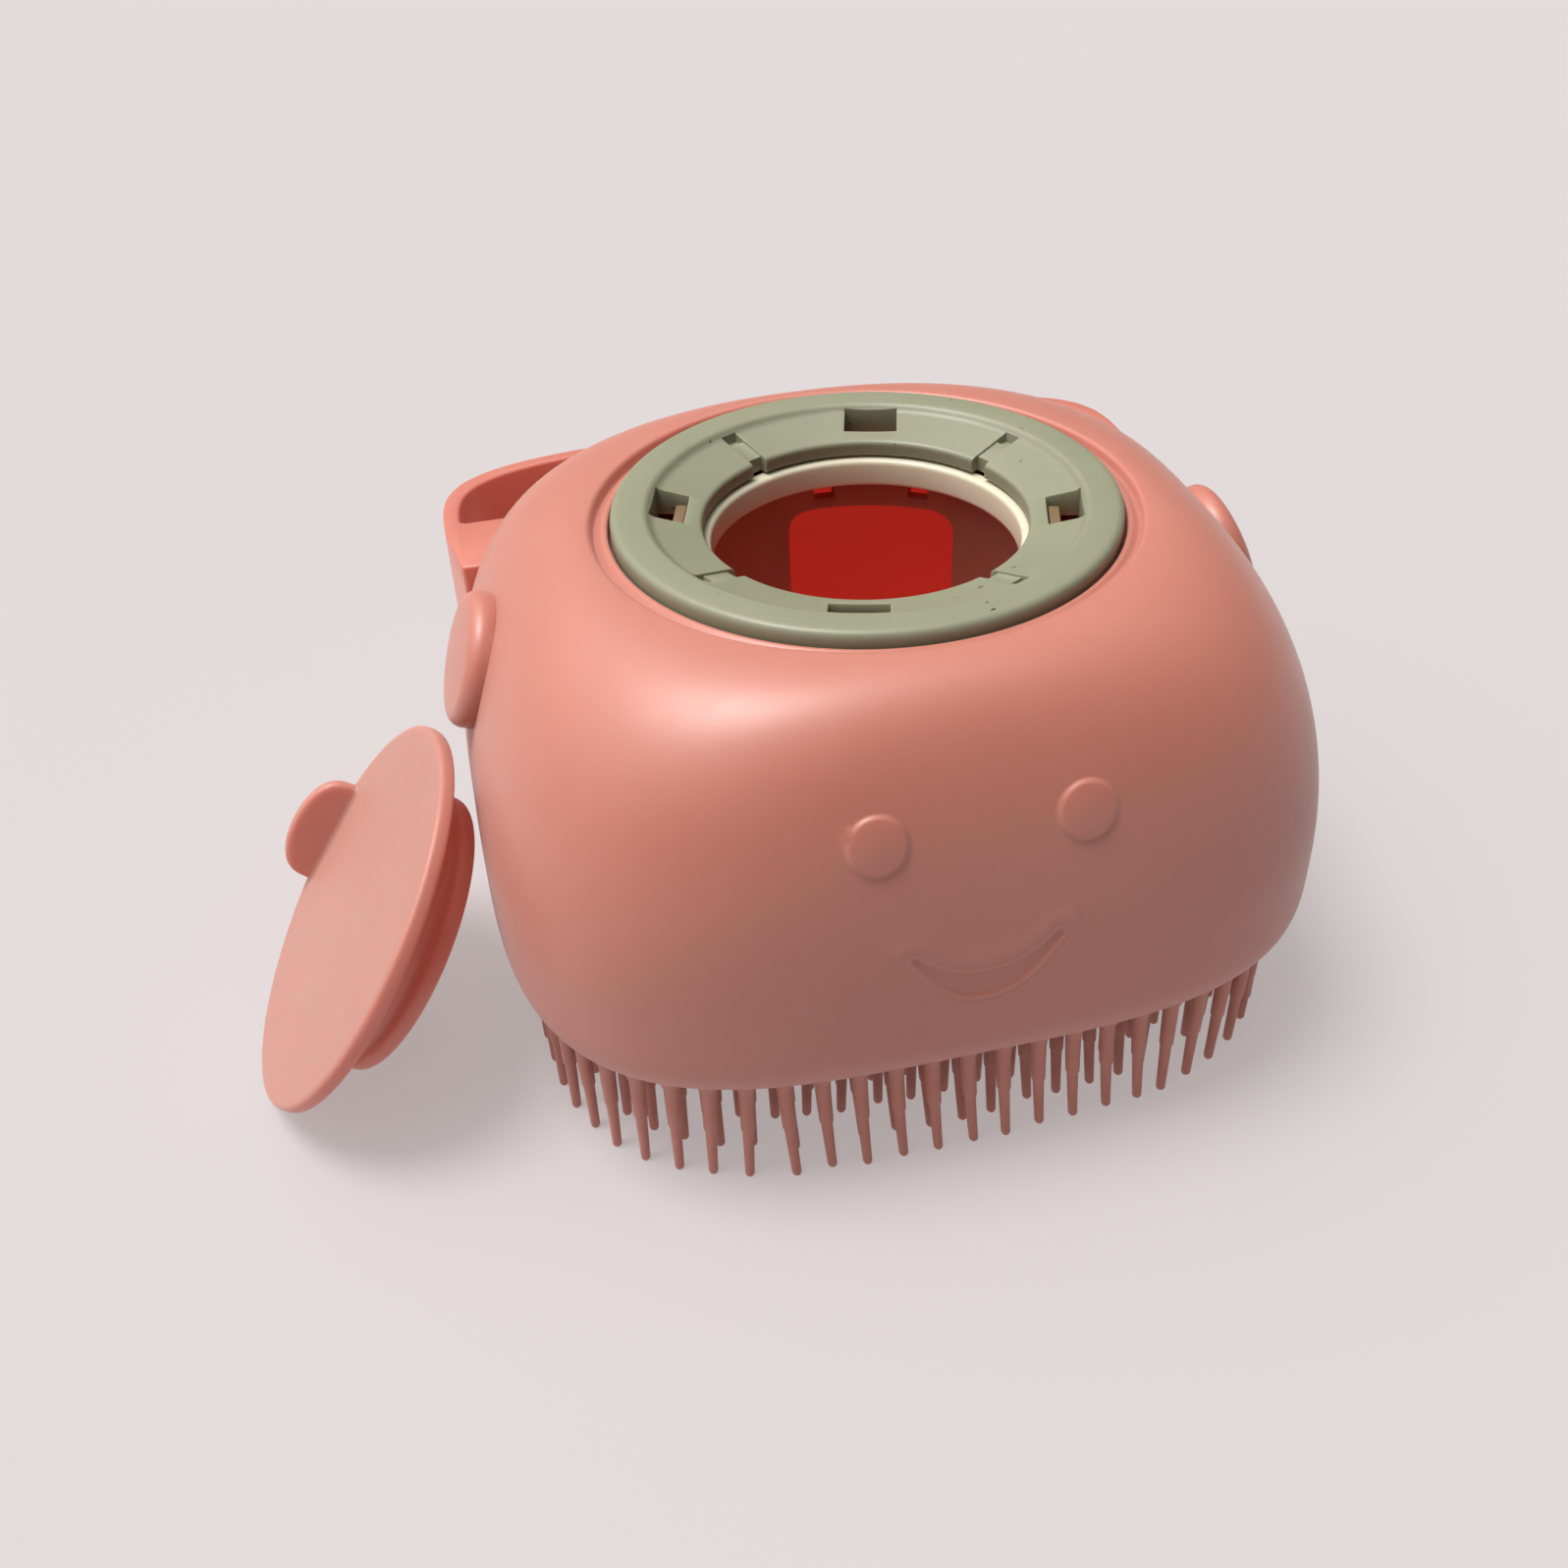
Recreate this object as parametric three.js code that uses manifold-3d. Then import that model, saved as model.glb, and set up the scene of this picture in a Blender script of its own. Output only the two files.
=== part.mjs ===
// Scalp massager brush: a squeezable silicone body on a bed of bristles, with a rigid
// filling ring clamped in its mouth and a loose silicone lid leaning against its left side.
// Millimetres, +Z up. The face looks towards -Y. The origin is the flat tip of the central
// bristle, in the plane that all the bristle tips share.

import * as THREE from 'three';
import { mergeVertices } from 'three/addons/utils/BufferGeometryUtils.js';
import Module from 'manifold-3d';

const wasm = await Module();
wasm.setup();

// ---------------------------------------------------------------- driving dimensions

const GAP = 0.3;                  // air between neighbouring pieces

// Bristles and the pad that carries them
const BRISTLE_LENGTH = 12.8;
const BRISTLE_ROOT_R = 1.15;
const BRISTLE_TIP_R = 0.6;
const BRISTLE_PITCH = 3.45;       // along a row
const ROW_STEP = 3.2;             // from one row in to the next
const DENSE_ROWS = 4;             // full rows at the edge; inside them every other row is left out
const SPARSE_PITCH = 5.6;
const FIELD_INSET_X = 0.7;        // edge row inside the underside's edge
const FIELD_INSET_Y = 1.1;
const FIELD_POWER = 3.7;
const PAD_THICKNESS = 2.7;
const OUTLET_R = 1.0;             // soap outlets through the pad
const OUTLET_COUNT = 8;

// Silicone body
const BODY_HALF_X = 41.3;
const BODY_HALF_Y = 38.7;
const BODY_HEIGHT = 38.5;         // pad underside to the top of the lip
const BODY_POWER = 3.5;           // superellipse power where the body is widest
const WIDEST_HEIGHT = 9.8;        // above the pad underside
const FOOT_INSET = 2.63;          // how far the underside is inside the widest section
const FOOT_POWER = 5;             // how sharply the side turns under
const SHOULDER_POWER = 2.1;
const SKIN = 2.6;

// Rigid ring in the mouth
const RING_R = 24.5;
const RING_HEIGHT = 2.6;
const RING_EDGE = 0.7;
const RIM_WIDTH = 3.9;
const RIM_STEP = 0.7;             // rim's flat top down to the edge of the dished floor
const FLOOR_FALL = 1.2;           // how much lower the floor is at the hole
const FLOOR_THICKNESS = 1.5;      // at the hole
const HOLE_STEP = 0.7;            // hole wider than the neck below it
const RING_TURN = -17.3;          // degrees the ring stands turned away from the face
const SLOT_LENGTH = 5.5;
const SLOT_WIDTH = 3.3;
const CHANNEL_WIDTH = 2.2;
const CHANNEL_DEPTH = 0.5;
const PIT_LENGTH = 1.6;
const PIT_DEPTH = 1.2;
const NOTCH_DEPTH = 1.1;

// Silicone mouth around the ring
const GROOVE_WIDTH = 1.9;
const LIP_EDGE = 0.4;
const GROOVE_DEPTH = 1.8;
const COLLAR_HEIGHT = 1.5;        // silicone that rises from the groove's floor against the ring
const COLLAR_WIDTH = 0.4;
const SEAT_THICKNESS = 1.6;
const SEAT_CLEARANCE = 0.4;       // round the ring's floor

// Clamp ring below the silicone seat, and the cage that hangs from it
const NECK_R = 15.0;
const NECK_WALL = 1.6;
const FLANGE_THICKNESS = 1.7;
const FLANGE_OVERLAP = 1.6;       // how far the flange reaches under the seat
const HOOK_THICKNESS = 1.0;
const HOOK_CLEARANCE = 0.45;
const CAGE_INSET = 1.6;           // cage inside the flange that it hangs from
const CAGE_WALL = 1.4;
const CAGE_FLOOR_CLEARANCE = 2.0;
const WINDOW_WIDTH = 18;
const WINDOW_HEIGHT = 15;
const WINDOW_CORNER_R = 2.5;
const WINDOW_DROP = 4.6;          // cage top down to the window's top edge
const VENT_SIZE = 2.2;
const VENT_OFFSET = 5.6;          // each side of a window's centre line

// Hanging strap behind the body
const STRAP_HALF_X = 39.8;
const STRAP_CENTRE_Y = 28;
const STRAP_DEPTH = 17.2;
const STRAP_POWER = 3.8;
const STRAP_THICKNESS = 1.8;
const STRAP_FRONT_Y = 23;
const STRAP_SLOT_Y = 30;          // where the open gap behind the body starts
const STRAP_LOW = 16.7;           // above the pad underside
const STRAP_HEIGHT = 10.5;

// Ears on the two sides, and the raised face
const EAR_R = 6.8;
const EAR_Y = 3.1;
const EAR_DROP = 11.5;            // below the top of the lip, to the middle of the ear's face
const EAR_INSET = 0.4;            // middle of the ear's face inside the widest section
const EAR_TILT = 20;              // degrees that the ears look up
const EAR_ROUND = 2;
const EYE_R = 2.65;
const EYE_X = 9.2;
const EYE_DROP = 11.4;            // below the top of the lip
const MOUTH_HALF = 7.4;
const MOUTH_HEIGHT = 15.2;        // above the pad underside, at its corners
const MOUTH_DROP = 5.9;
const MOUTH_INNER_DROP = 2;
const MOUTH_CORNER = 1.2;
const RELIEF = 0.5;

// Lid
const LID_CLEARANCE = 0.4;
const LID_THICKNESS = 1.7;
const PLUG_CLEARANCE = 0.35;
const PLUG_HEIGHT = 5.5;
const PLUG_WALL = 2.4;
const PLUG_RIB = 0.6;
const RIB_START = 0.8;            // plug's open end to the full height of the rib
const LID_EDGE = 0.5;
const PLUG_HOLLOW = 3.4;
const TAB_LENGTH = 12;
const TAB_HEIGHT = 4.6;
const TAB_THICKNESS = 1.5;
const TAB_OUT = 17.6;
const TAB_ANGLE = 192;            // degrees round the lid from its level axis
const NUB_SIZE = [1.4, 2.4, 1.6];
const LID_TILT = 36.2;            // degrees that the lid's top face looks above the horizon
const LID_YAW = -2.5;
const LID_Y = -4.9;

const ROUND_SIDES = 48;

// ---------------------------------------------------------------- derived places

const PAD_TOP = BRISTLE_LENGTH + PAD_THICKNESS;
const BODY_TOP = BRISTLE_LENGTH + BODY_HEIGHT;
const WIDEST_Z = BRISTLE_LENGTH + WIDEST_HEIGHT;
const LIP_R = RING_R + GROOVE_WIDTH;
const GROOVE_Z = BODY_TOP - GROOVE_DEPTH;
const SEAT_BOTTOM = GROOVE_Z - SEAT_THICKNESS;
const RING_BOTTOM = GROOVE_Z + GAP;
const RING_TOP = RING_BOTTOM + RING_HEIGHT;
const HOLE_R = NECK_R + HOLE_STEP;
const RECESS_R = RING_R - RIM_WIDTH;
const RECESS_Z = RING_TOP - RIM_STEP;
const HOLE_Z = RECESS_Z - FLOOR_FALL;
const FLOOR_BOTTOM = HOLE_Z - FLOOR_THICKNESS;
const FLOOR_R = RECESS_R + 0.2;
const SEAT_R = FLOOR_R + SEAT_CLEARANCE;
const FLANGE_TOP = SEAT_BOTTOM - GAP;
const FLANGE_BOTTOM = FLANGE_TOP - FLANGE_THICKNESS;
const FLANGE_R = SEAT_R + FLANGE_OVERLAP;
const CAGE_R = FLANGE_R - CAGE_INSET;
const CAGE_TOP = FLANGE_BOTTOM - GAP;
const CAGE_BOTTOM = PAD_TOP + CAGE_FLOOR_CLEARANCE;
const SLOT_R = RECESS_R - SLOT_WIDTH / 2;
const LID_R = RECESS_R - LID_CLEARANCE;
const PLUG_R = NECK_R - PLUG_CLEARANCE;

const radians = THREE.MathUtils.degToRad;
const EAR_BOTTOM = BODY_TOP - EAR_DROP - EAR_R * Math.cos(radians(EAR_TILT));
const EAR_OUT = EAR_R * Math.sin(radians(EAR_TILT)) - EAR_INSET;   // lowest edge beyond the body

// ---------------------------------------------------------------- solids and booleans

function solidOf(geometry) {
  const bare = geometry.index ? geometry.toNonIndexed() : geometry.clone();
  for (const name of Object.keys(bare.attributes)) {
    if (name !== 'position') bare.deleteAttribute(name);
  }
  const merged = mergeVertices(bare, 1e-4);
  const vertProperties = new Float32Array(merged.attributes.position.array);
  const corners = [];
  for (let i = 0; i < merged.index.count; i += 3) {
    const [a, b, c] = merged.index.array.slice(i, i + 3);
    if (a !== b && b !== c && c !== a) corners.push(a, b, c);
  }
  const triVerts = new Uint32Array(corners);
  return new wasm.Manifold(new wasm.Mesh({ numProp: 3, vertProperties, triVerts }));
}

function geometryOf(solid) {
  const { vertProperties, triVerts } = solid.getMesh();
  const geometry = new THREE.BufferGeometry();
  geometry.setAttribute('position', new THREE.BufferAttribute(new Float32Array(vertProperties), 3));
  geometry.setIndex(new THREE.BufferAttribute(new Uint32Array(triVerts), 1));
  geometry.computeVertexNormals();
  return geometry;
}

function union(first, ...others) {
  return others.reduce((sum, next) => sum.add(next), first);
}

function cut(first, ...others) {
  return others.reduce((rest, next) => rest.subtract(next), first);
}

// A closed body from rings of points that all have the same count. A looped loft joins its
// last ring to its first and so has a hole through it; any other is capped at both ends.
function loft(rings, looped = false) {
  const count = rings[0].length;
  const points = rings.flat();
  const faces = [];
  const last = looped ? rings.length : rings.length - 1;
  for (let row = 0; row < last; row += 1) {
    const here = row * count;
    const next = ((row + 1) % rings.length) * count;
    for (let i = 0; i < count; i += 1) {
      const j = (i + 1) % count;
      faces.push(here + i, here + j, next + j, here + i, next + j, next + i);
    }
  }
  if (!looped) {
    const top = (rings.length - 1) * count;
    for (let i = 1; i < count - 1; i += 1) {
      faces.push(0, i + 1, i);
      faces.push(top, top + i, top + i + 1);
    }
  }
  const geometry = new THREE.BufferGeometry().setFromPoints(points);
  geometry.setIndex(faces);
  return solidOf(geometry);
}

// A body of revolution about +Z from [radius, height] points listed anticlockwise.
function revolve(profile) {
  const points = [...profile, profile[0]].map(([r, z]) => new THREE.Vector2(r, z));
  const geometry = new THREE.LatheGeometry(points, ROUND_SIDES);
  geometry.rotateX(Math.PI / 2);
  return solidOf(geometry);
}

function box(x, y, z, centre) {
  const geometry = new THREE.BoxGeometry(x, y, z);
  geometry.translate(...centre);
  return solidOf(geometry);
}

function prism(shape, low, height, segments = 12) {
  const geometry = new THREE.ExtrudeGeometry(shape, {
    depth: height, bevelEnabled: false, curveSegments: segments,
  });
  geometry.translate(0, 0, low);
  return solidOf(geometry);
}

// Copies of one solid turned about +Z, starting from the ring's own turned position.
function around(solid, count, offset) {
  const copies = [];
  for (let k = 0; k < count; k += 1) {
    copies.push(solid.rotate([0, 0, RING_TURN + offset + (360 * k) / count]));
  }
  return copies;
}

function piece(name, solid, finish) {
  const mesh = new THREE.Mesh(geometryOf(solid), new THREE.MeshStandardMaterial(finish));
  mesh.name = name;
  return mesh;
}

// ---------------------------------------------------------------- finishes

const SILICONE = { color: 0xe3a393, roughness: 0.55, metalness: 0 };
const LID_SILICONE = { color: 0xdba79a, roughness: 0.6, metalness: 0 };
const RING_PLASTIC = { color: 0xb3b296, roughness: 0.45, metalness: 0 };
const CLEAR_PLASTIC = { color: 0xe2d8cf, roughness: 0.4, metalness: 0 };

// ---------------------------------------------------------------- silicone body

// Half sizes and power of the body's section at a height; inset moves the wall inwards.
function bodySection(z, inset) {
  const top = BODY_TOP - (inset > 0 ? GROOVE_DEPTH + SEAT_THICKNESS : 0);
  const lip = LIP_R - Math.max(inset, 0) / 2;
  const wideX = BODY_HALF_X - inset;
  const wideY = BODY_HALF_Y - inset;
  if (z < WIDEST_Z) {
    const drop = FOOT_INSET * ((WIDEST_Z - z) / WIDEST_HEIGHT) ** FOOT_POWER;
    return [wideX - drop, wideY - drop, BODY_POWER];
  }
  const rise = Math.min((z - WIDEST_Z) / (top - WIDEST_Z), 1);
  const full = (1 - rise ** SHOULDER_POWER) ** (1 / SHOULDER_POWER);
  return [lip + (wideX - lip) * full, lip + (wideY - lip) * full, 2 + (BODY_POWER - 2) * full];
}

function superellipse(halfX, halfY, power, z, centreY = 0) {
  const ring = [];
  for (let i = 0; i < ROUND_SIDES; i += 1) {
    const angle = (2 * Math.PI * i) / ROUND_SIDES;
    const c = Math.cos(angle);
    const s = Math.sin(angle);
    const r = (Math.abs(c / halfX) ** power + Math.abs(s / halfY) ** power) ** (-1 / power);
    ring.push(new THREE.Vector3(r * c, centreY + r * s, z));
  }
  return ring;
}

function bodyRing(z, inset = 0) {
  return superellipse(...bodySection(z, inset), z);
}

function circle(radius, z) {
  return superellipse(radius, radius, 2, z);
}

// Heights from low to top that crowd together where the shoulder flattens out.
function heights(low, top) {
  const list = [low, (low + WIDEST_Z) / 2, WIDEST_Z];
  const steps = 9;
  for (let i = 1; i < steps; i += 1) {
    list.push(WIDEST_Z + (top - WIDEST_Z) * Math.sin((Math.PI / 2) * (i / steps)));
  }
  return list;
}

function bodyShell() {
  const low = PAD_TOP + GAP;
  const outside = heights(low, BODY_TOP).map((z) => bodyRing(z));
  const inside = heights(low, SEAT_BOTTOM).map((z) => bodyRing(z, SKIN));
  const collarR = RING_R + GAP;
  const mouth = [
    circle(LIP_R + LIP_EDGE, BODY_TOP),
    circle(LIP_R, BODY_TOP - LIP_EDGE),
    circle(LIP_R - LIP_EDGE, GROOVE_Z),
    circle(collarR + COLLAR_WIDTH, GROOVE_Z + COLLAR_HEIGHT),
    circle(collarR, GROOVE_Z + COLLAR_HEIGHT),
    circle(collarR, GROOVE_Z),
    circle(SEAT_R, GROOVE_Z),
    circle(SEAT_R, SEAT_BOTTOM),
    circle(LIP_R - SKIN / 2, SEAT_BOTTOM),
  ];
  const shell = loft([...outside, ...mouth, ...inside.reverse()], true);
  return union(shell, ...face());
}

// A raised shape drawn upright in X and Y, moved to the front wall and leaned back with it.
function onFront(shape, x, z) {
  const front = (at) => {
    const [halfX, halfY, power] = bodySection(at, 0);
    return halfY * (1 - Math.abs(x / halfX) ** power) ** (1 / power);
  };
  const lean = Math.atan2(front(z - 2) - front(z + 2), 4);
  const depth = SKIN / 2;
  const geometry = new THREE.ExtrudeGeometry(shape, {
    depth: depth + RELIEF, bevelEnabled: false, curveSegments: 8,
  });
  geometry.translate(0, 0, -depth);
  geometry.rotateX(Math.PI / 2 - lean);
  geometry.translate(x, -front(z), z);
  return solidOf(geometry);
}

function face() {
  const eye = new THREE.Shape().absarc(0, 0, EYE_R, 0, 2 * Math.PI);
  const mouth = new THREE.Shape();
  mouth.moveTo(-MOUTH_HALF, 0);
  mouth.quadraticCurveTo(0, -2 * MOUTH_DROP, MOUTH_HALF, 0);
  mouth.lineTo(MOUTH_HALF - MOUTH_CORNER, MOUTH_CORNER);
  mouth.quadraticCurveTo(0, -2 * MOUTH_INNER_DROP, MOUTH_CORNER - MOUTH_HALF, MOUTH_CORNER);
  mouth.closePath();
  return [
    onFront(eye, -EYE_X, BODY_TOP - EYE_DROP),
    onFront(eye, EYE_X, BODY_TOP - EYE_DROP),
    onFront(mouth, 0, BRISTLE_LENGTH + MOUTH_HEIGHT),
  ];
}

// The body's outside as a filled solid, a gap larger all round, to cut what meets it.
function bodySpace() {
  const levels = heights(BRISTLE_LENGTH, BODY_TOP).map((z) => bodyRing(z, -GAP));
  return loft(levels);
}

// A button whose face is at its own z = 0, tilted to look up and sideways.
function ear(side) {
  const back = -2 * SKIN - EAR_R * Math.sin(radians(EAR_TILT));
  const bend = EAR_ROUND * (1 - Math.SQRT1_2);
  const button = revolve([
    [0, back], [EAR_R, back], [EAR_R, -EAR_ROUND],
    [EAR_R - bend, -bend], [EAR_R - EAR_ROUND, 0], [0, 0],
  ]);
  const placed = button.rotate([0, side * (90 - EAR_TILT), 0]).translate(
    [side * (BODY_HALF_X - EAR_INSET), EAR_Y, BODY_TOP - EAR_DROP],
  );
  return cut(placed, bodySpace());
}

function strap() {
  const low = BRISTLE_LENGTH + STRAP_LOW;
  const high = low + STRAP_HEIGHT;
  const band = (inset, z) => superellipse(
    STRAP_HALF_X - inset, STRAP_DEPTH - inset, STRAP_POWER, z, STRAP_CENTRE_Y,
  );
  const outside = loft([band(0, low), band(0, high)]);
  const hollow = loft([band(STRAP_THICKNESS, low - 1), band(STRAP_THICKNESS, high + 1)]);
  const wide = 2 * (STRAP_HALF_X + 1);
  const tall = STRAP_HEIGHT + 4;
  const deep = 2 * STRAP_DEPTH;
  const middle = (low + high) / 2;
  const webs = box(wide, deep, tall, [0, STRAP_SLOT_Y - deep / 2, middle]);
  const front = box(wide, deep, tall, [0, STRAP_FRONT_Y - deep / 2, middle]);
  return cut(outside, cut(hollow, webs), front, bodySpace());
}

// ---------------------------------------------------------------- bristle pad

// Places spaced evenly along one row, which runs round the field at a distance from its edge.
function rowPlaces(inset, pitch) {
  const halfX = BODY_HALF_X - FOOT_INSET - FIELD_INSET_X - inset;
  const halfY = BODY_HALF_Y - FOOT_INSET - FIELD_INSET_Y - inset;
  const row = new THREE.CatmullRomCurve3(superellipse(halfX, halfY, FIELD_POWER, 0), true);
  const count = 4 * Math.round(row.getLength() / (4 * pitch));
  return row.getSpacedPoints(count).slice(0, count).map(({ x, y }) => [x, y]);
}

function innermostRow() {
  return (BODY_HALF_Y - FOOT_INSET - FIELD_INSET_Y) / ROW_STEP - 1;
}

function bristlePlaces() {
  const places = [[0, 0]];
  for (let row = 0; row < DENSE_ROWS; row += 1) {
    places.push(...rowPlaces(row * ROW_STEP, BRISTLE_PITCH));
  }
  for (let row = DENSE_ROWS + 1; row < innermostRow(); row += 2) {
    places.push(...rowPlaces(row * ROW_STEP, SPARSE_PITCH));
  }
  return places;
}

function square(radius, z, x, y) {
  return [0, 1, 2, 3].map((k) => {
    const angle = (Math.PI / 2) * (k + 0.5);
    return new THREE.Vector3(x + radius * Math.cos(angle), y + radius * Math.sin(angle), z);
  });
}

function bristle([x, y]) {
  const root = BRISTLE_LENGTH + PAD_THICKNESS / 2;
  return loft([
    square(BRISTLE_TIP_R, 0, x, y),
    square(BRISTLE_ROOT_R, root, x, y),
  ]);
}

// Soap outlets stand in the first row that has no bristles.
function outlets() {
  const row = rowPlaces(DENSE_ROWS * ROW_STEP, BRISTLE_PITCH);
  return Array.from({ length: OUTLET_COUNT }, (_, k) => {
    const [x, y] = row[Math.floor((row.length * k) / OUTLET_COUNT)];
    const shape = new THREE.Shape().absarc(x, y, OUTLET_R, 0, 2 * Math.PI);
    return prism(shape, BRISTLE_LENGTH - 1, PAD_THICKNESS + 2, 4);
  });
}

function bristlePad() {
  const levels = [0, 0.25, 0.6, 1].map((share) => BRISTLE_LENGTH + share * PAD_THICKNESS);
  const plate = loft(levels.map((z) => bodyRing(z)));
  const bristles = wasm.Manifold.compose(bristlePlaces().map(bristle));
  return cut(plate.add(bristles), ...outlets());
}

// ---------------------------------------------------------------- ring, clamp and cage

// The rim's top is flat, and inside it a dished floor falls towards the hole.
function retainingRing() {
  const bend = RING_EDGE * (1 - Math.SQRT1_2);
  const ring = revolve([
    [HOLE_R, FLOOR_BOTTOM], [FLOOR_R, FLOOR_BOTTOM], [FLOOR_R, RING_BOTTOM],
    [RING_R, RING_BOTTOM], [RING_R, RING_TOP - RING_EDGE],
    [RING_R - bend, RING_TOP - bend], [RING_R - RING_EDGE, RING_TOP],
    [RECESS_R, RING_TOP], [RECESS_R, RECESS_Z], [HOLE_R, HOLE_Z],
  ]);
  const floorWidth = RECESS_R - HOLE_R;
  const through = 4 * FLOOR_THICKNESS;
  const slot = box(SLOT_WIDTH, SLOT_LENGTH, through, [SLOT_R, 0, HOLE_Z]);
  const fall = Math.atan2(FLOOR_FALL, floorWidth);
  const channel = box(2 * floorWidth, CHANNEL_WIDTH, 2 * CHANNEL_DEPTH, [0, 0, 0])
    .rotate([0, -THREE.MathUtils.radToDeg(fall), 0])
    .translate([HOLE_R, 0, HOLE_Z])
    .trimByPlane([-1, 0, 0], -RECESS_R);
  const pit = box(PIT_LENGTH, CHANNEL_WIDTH, 2 * PIT_DEPTH, [RECESS_R - PIT_LENGTH / 2, 0, RECESS_Z]);
  const notch = box(2 * NOTCH_DEPTH, CHANNEL_WIDTH, through, [HOLE_R, 0, HOLE_Z]);
  return cut(ring, ...around(slot, 4, 0), ...around(union(channel, pit, notch), 4, 45));
}

// The hooks stand up through the ring's slots, against the side nearest the hole.
function clampRing() {
  const ring = revolve([
    [NECK_R, FLANGE_BOTTOM], [FLANGE_R, FLANGE_BOTTOM], [FLANGE_R, FLANGE_TOP],
    [NECK_R + NECK_WALL, FLANGE_TOP], [NECK_R + NECK_WALL, FLOOR_BOTTOM - GAP],
    [NECK_R, FLOOR_BOTTOM - GAP],
  ]);
  const hookLow = FLANGE_TOP - FLANGE_THICKNESS / 2;
  const hookTop = HOLE_Z - GAP;
  const hookR = SLOT_R - SLOT_WIDTH / 2 + GAP + HOOK_THICKNESS / 2;
  const hook = box(
    HOOK_THICKNESS, SLOT_LENGTH - 2 * HOOK_CLEARANCE, hookTop - hookLow,
    [hookR, 0, (hookTop + hookLow) / 2],
  );
  return union(ring, ...around(hook, 4, 0));
}

function roundedOpening(width, height, radius, centreZ) {
  const x = width / 2;
  const y = height / 2;
  const shape = new THREE.Shape();
  shape.moveTo(-x, -y);
  shape.lineTo(x, -y);
  shape.lineTo(x, y - radius);
  shape.absarc(x - radius, y - radius, radius, 0, Math.PI / 2);
  shape.absarc(radius - x, y - radius, radius, Math.PI / 2, Math.PI);
  shape.closePath();
  const through = prism(shape, 0, 2 * CAGE_R, 4);
  return through.rotate([90, 0, 90]).translate([0, 0, centreZ]);
}

function innerCage() {
  const inner = CAGE_R - CAGE_WALL;
  const tube = revolve([
    [inner, CAGE_BOTTOM], [CAGE_R, CAGE_BOTTOM], [CAGE_R, CAGE_TOP], [inner, CAGE_TOP],
  ]);
  const windowZ = CAGE_TOP - WINDOW_DROP - WINDOW_HEIGHT / 2;
  const window = roundedOpening(WINDOW_WIDTH, WINDOW_HEIGHT, WINDOW_CORNER_R, windowZ);
  const ventZ = CAGE_TOP - WINDOW_DROP / 2;
  const vents = [-VENT_OFFSET, VENT_OFFSET].map(
    (y) => box(2 * CAGE_WALL + 2, VENT_SIZE, VENT_SIZE, [CAGE_R - CAGE_WALL / 2, y, ventZ]),
  );
  return cut(tube, ...around(union(window, ...vents), 4, 0));
}

// ---------------------------------------------------------------- lid, in its own frame

// The lid's top face is its z = 0 plane and looks along its own +Z.
function lidCap() {
  const low = -LID_THICKNESS;
  return revolve([
    [0, low], [LID_R - LID_EDGE, low], [LID_R, low + LID_EDGE], [LID_R, -LID_EDGE],
    [LID_R - LID_EDGE, 0], [0, 0],
  ]);
}

function pullTab() {
  const shape = new THREE.Shape();
  shape.moveTo(-TAB_LENGTH / 2, GAP);
  shape.lineTo(TAB_LENGTH / 2, GAP);
  shape.bezierCurveTo(TAB_LENGTH / 2, TAB_HEIGHT, TAB_LENGTH / 3, TAB_HEIGHT, 0, TAB_HEIGHT);
  shape.bezierCurveTo(-TAB_LENGTH / 3, TAB_HEIGHT, -TAB_LENGTH / 2, TAB_HEIGHT, -TAB_LENGTH / 2, GAP);
  const upright = prism(shape, -TAB_THICKNESS / 2, TAB_THICKNESS, 6).rotate([90, 0, 90]);
  return upright.translate([TAB_OUT, 0, 0]).rotate([0, 0, TAB_ANGLE]);
}

function lidPlug() {
  const top = -LID_THICKNESS - GAP;
  const low = -LID_THICKNESS - PLUG_HEIGHT;
  const neck = PLUG_R - PLUG_RIB;
  const ring = revolve([
    [0, low + PLUG_HOLLOW], [neck - PLUG_WALL, low + PLUG_HOLLOW], [neck - PLUG_WALL, low],
    [neck, low], [PLUG_R, low + RIB_START], [PLUG_R, low + RIB_START + 1],
    [neck, low + 2 * RIB_START + 1], [neck, top], [0, top],
  ]);
  const nub = box(...NUB_SIZE, [neck, 0, top - NUB_SIZE[2]]).rotate([0, 0, -90]);
  return ring.add(nub);
}

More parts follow.
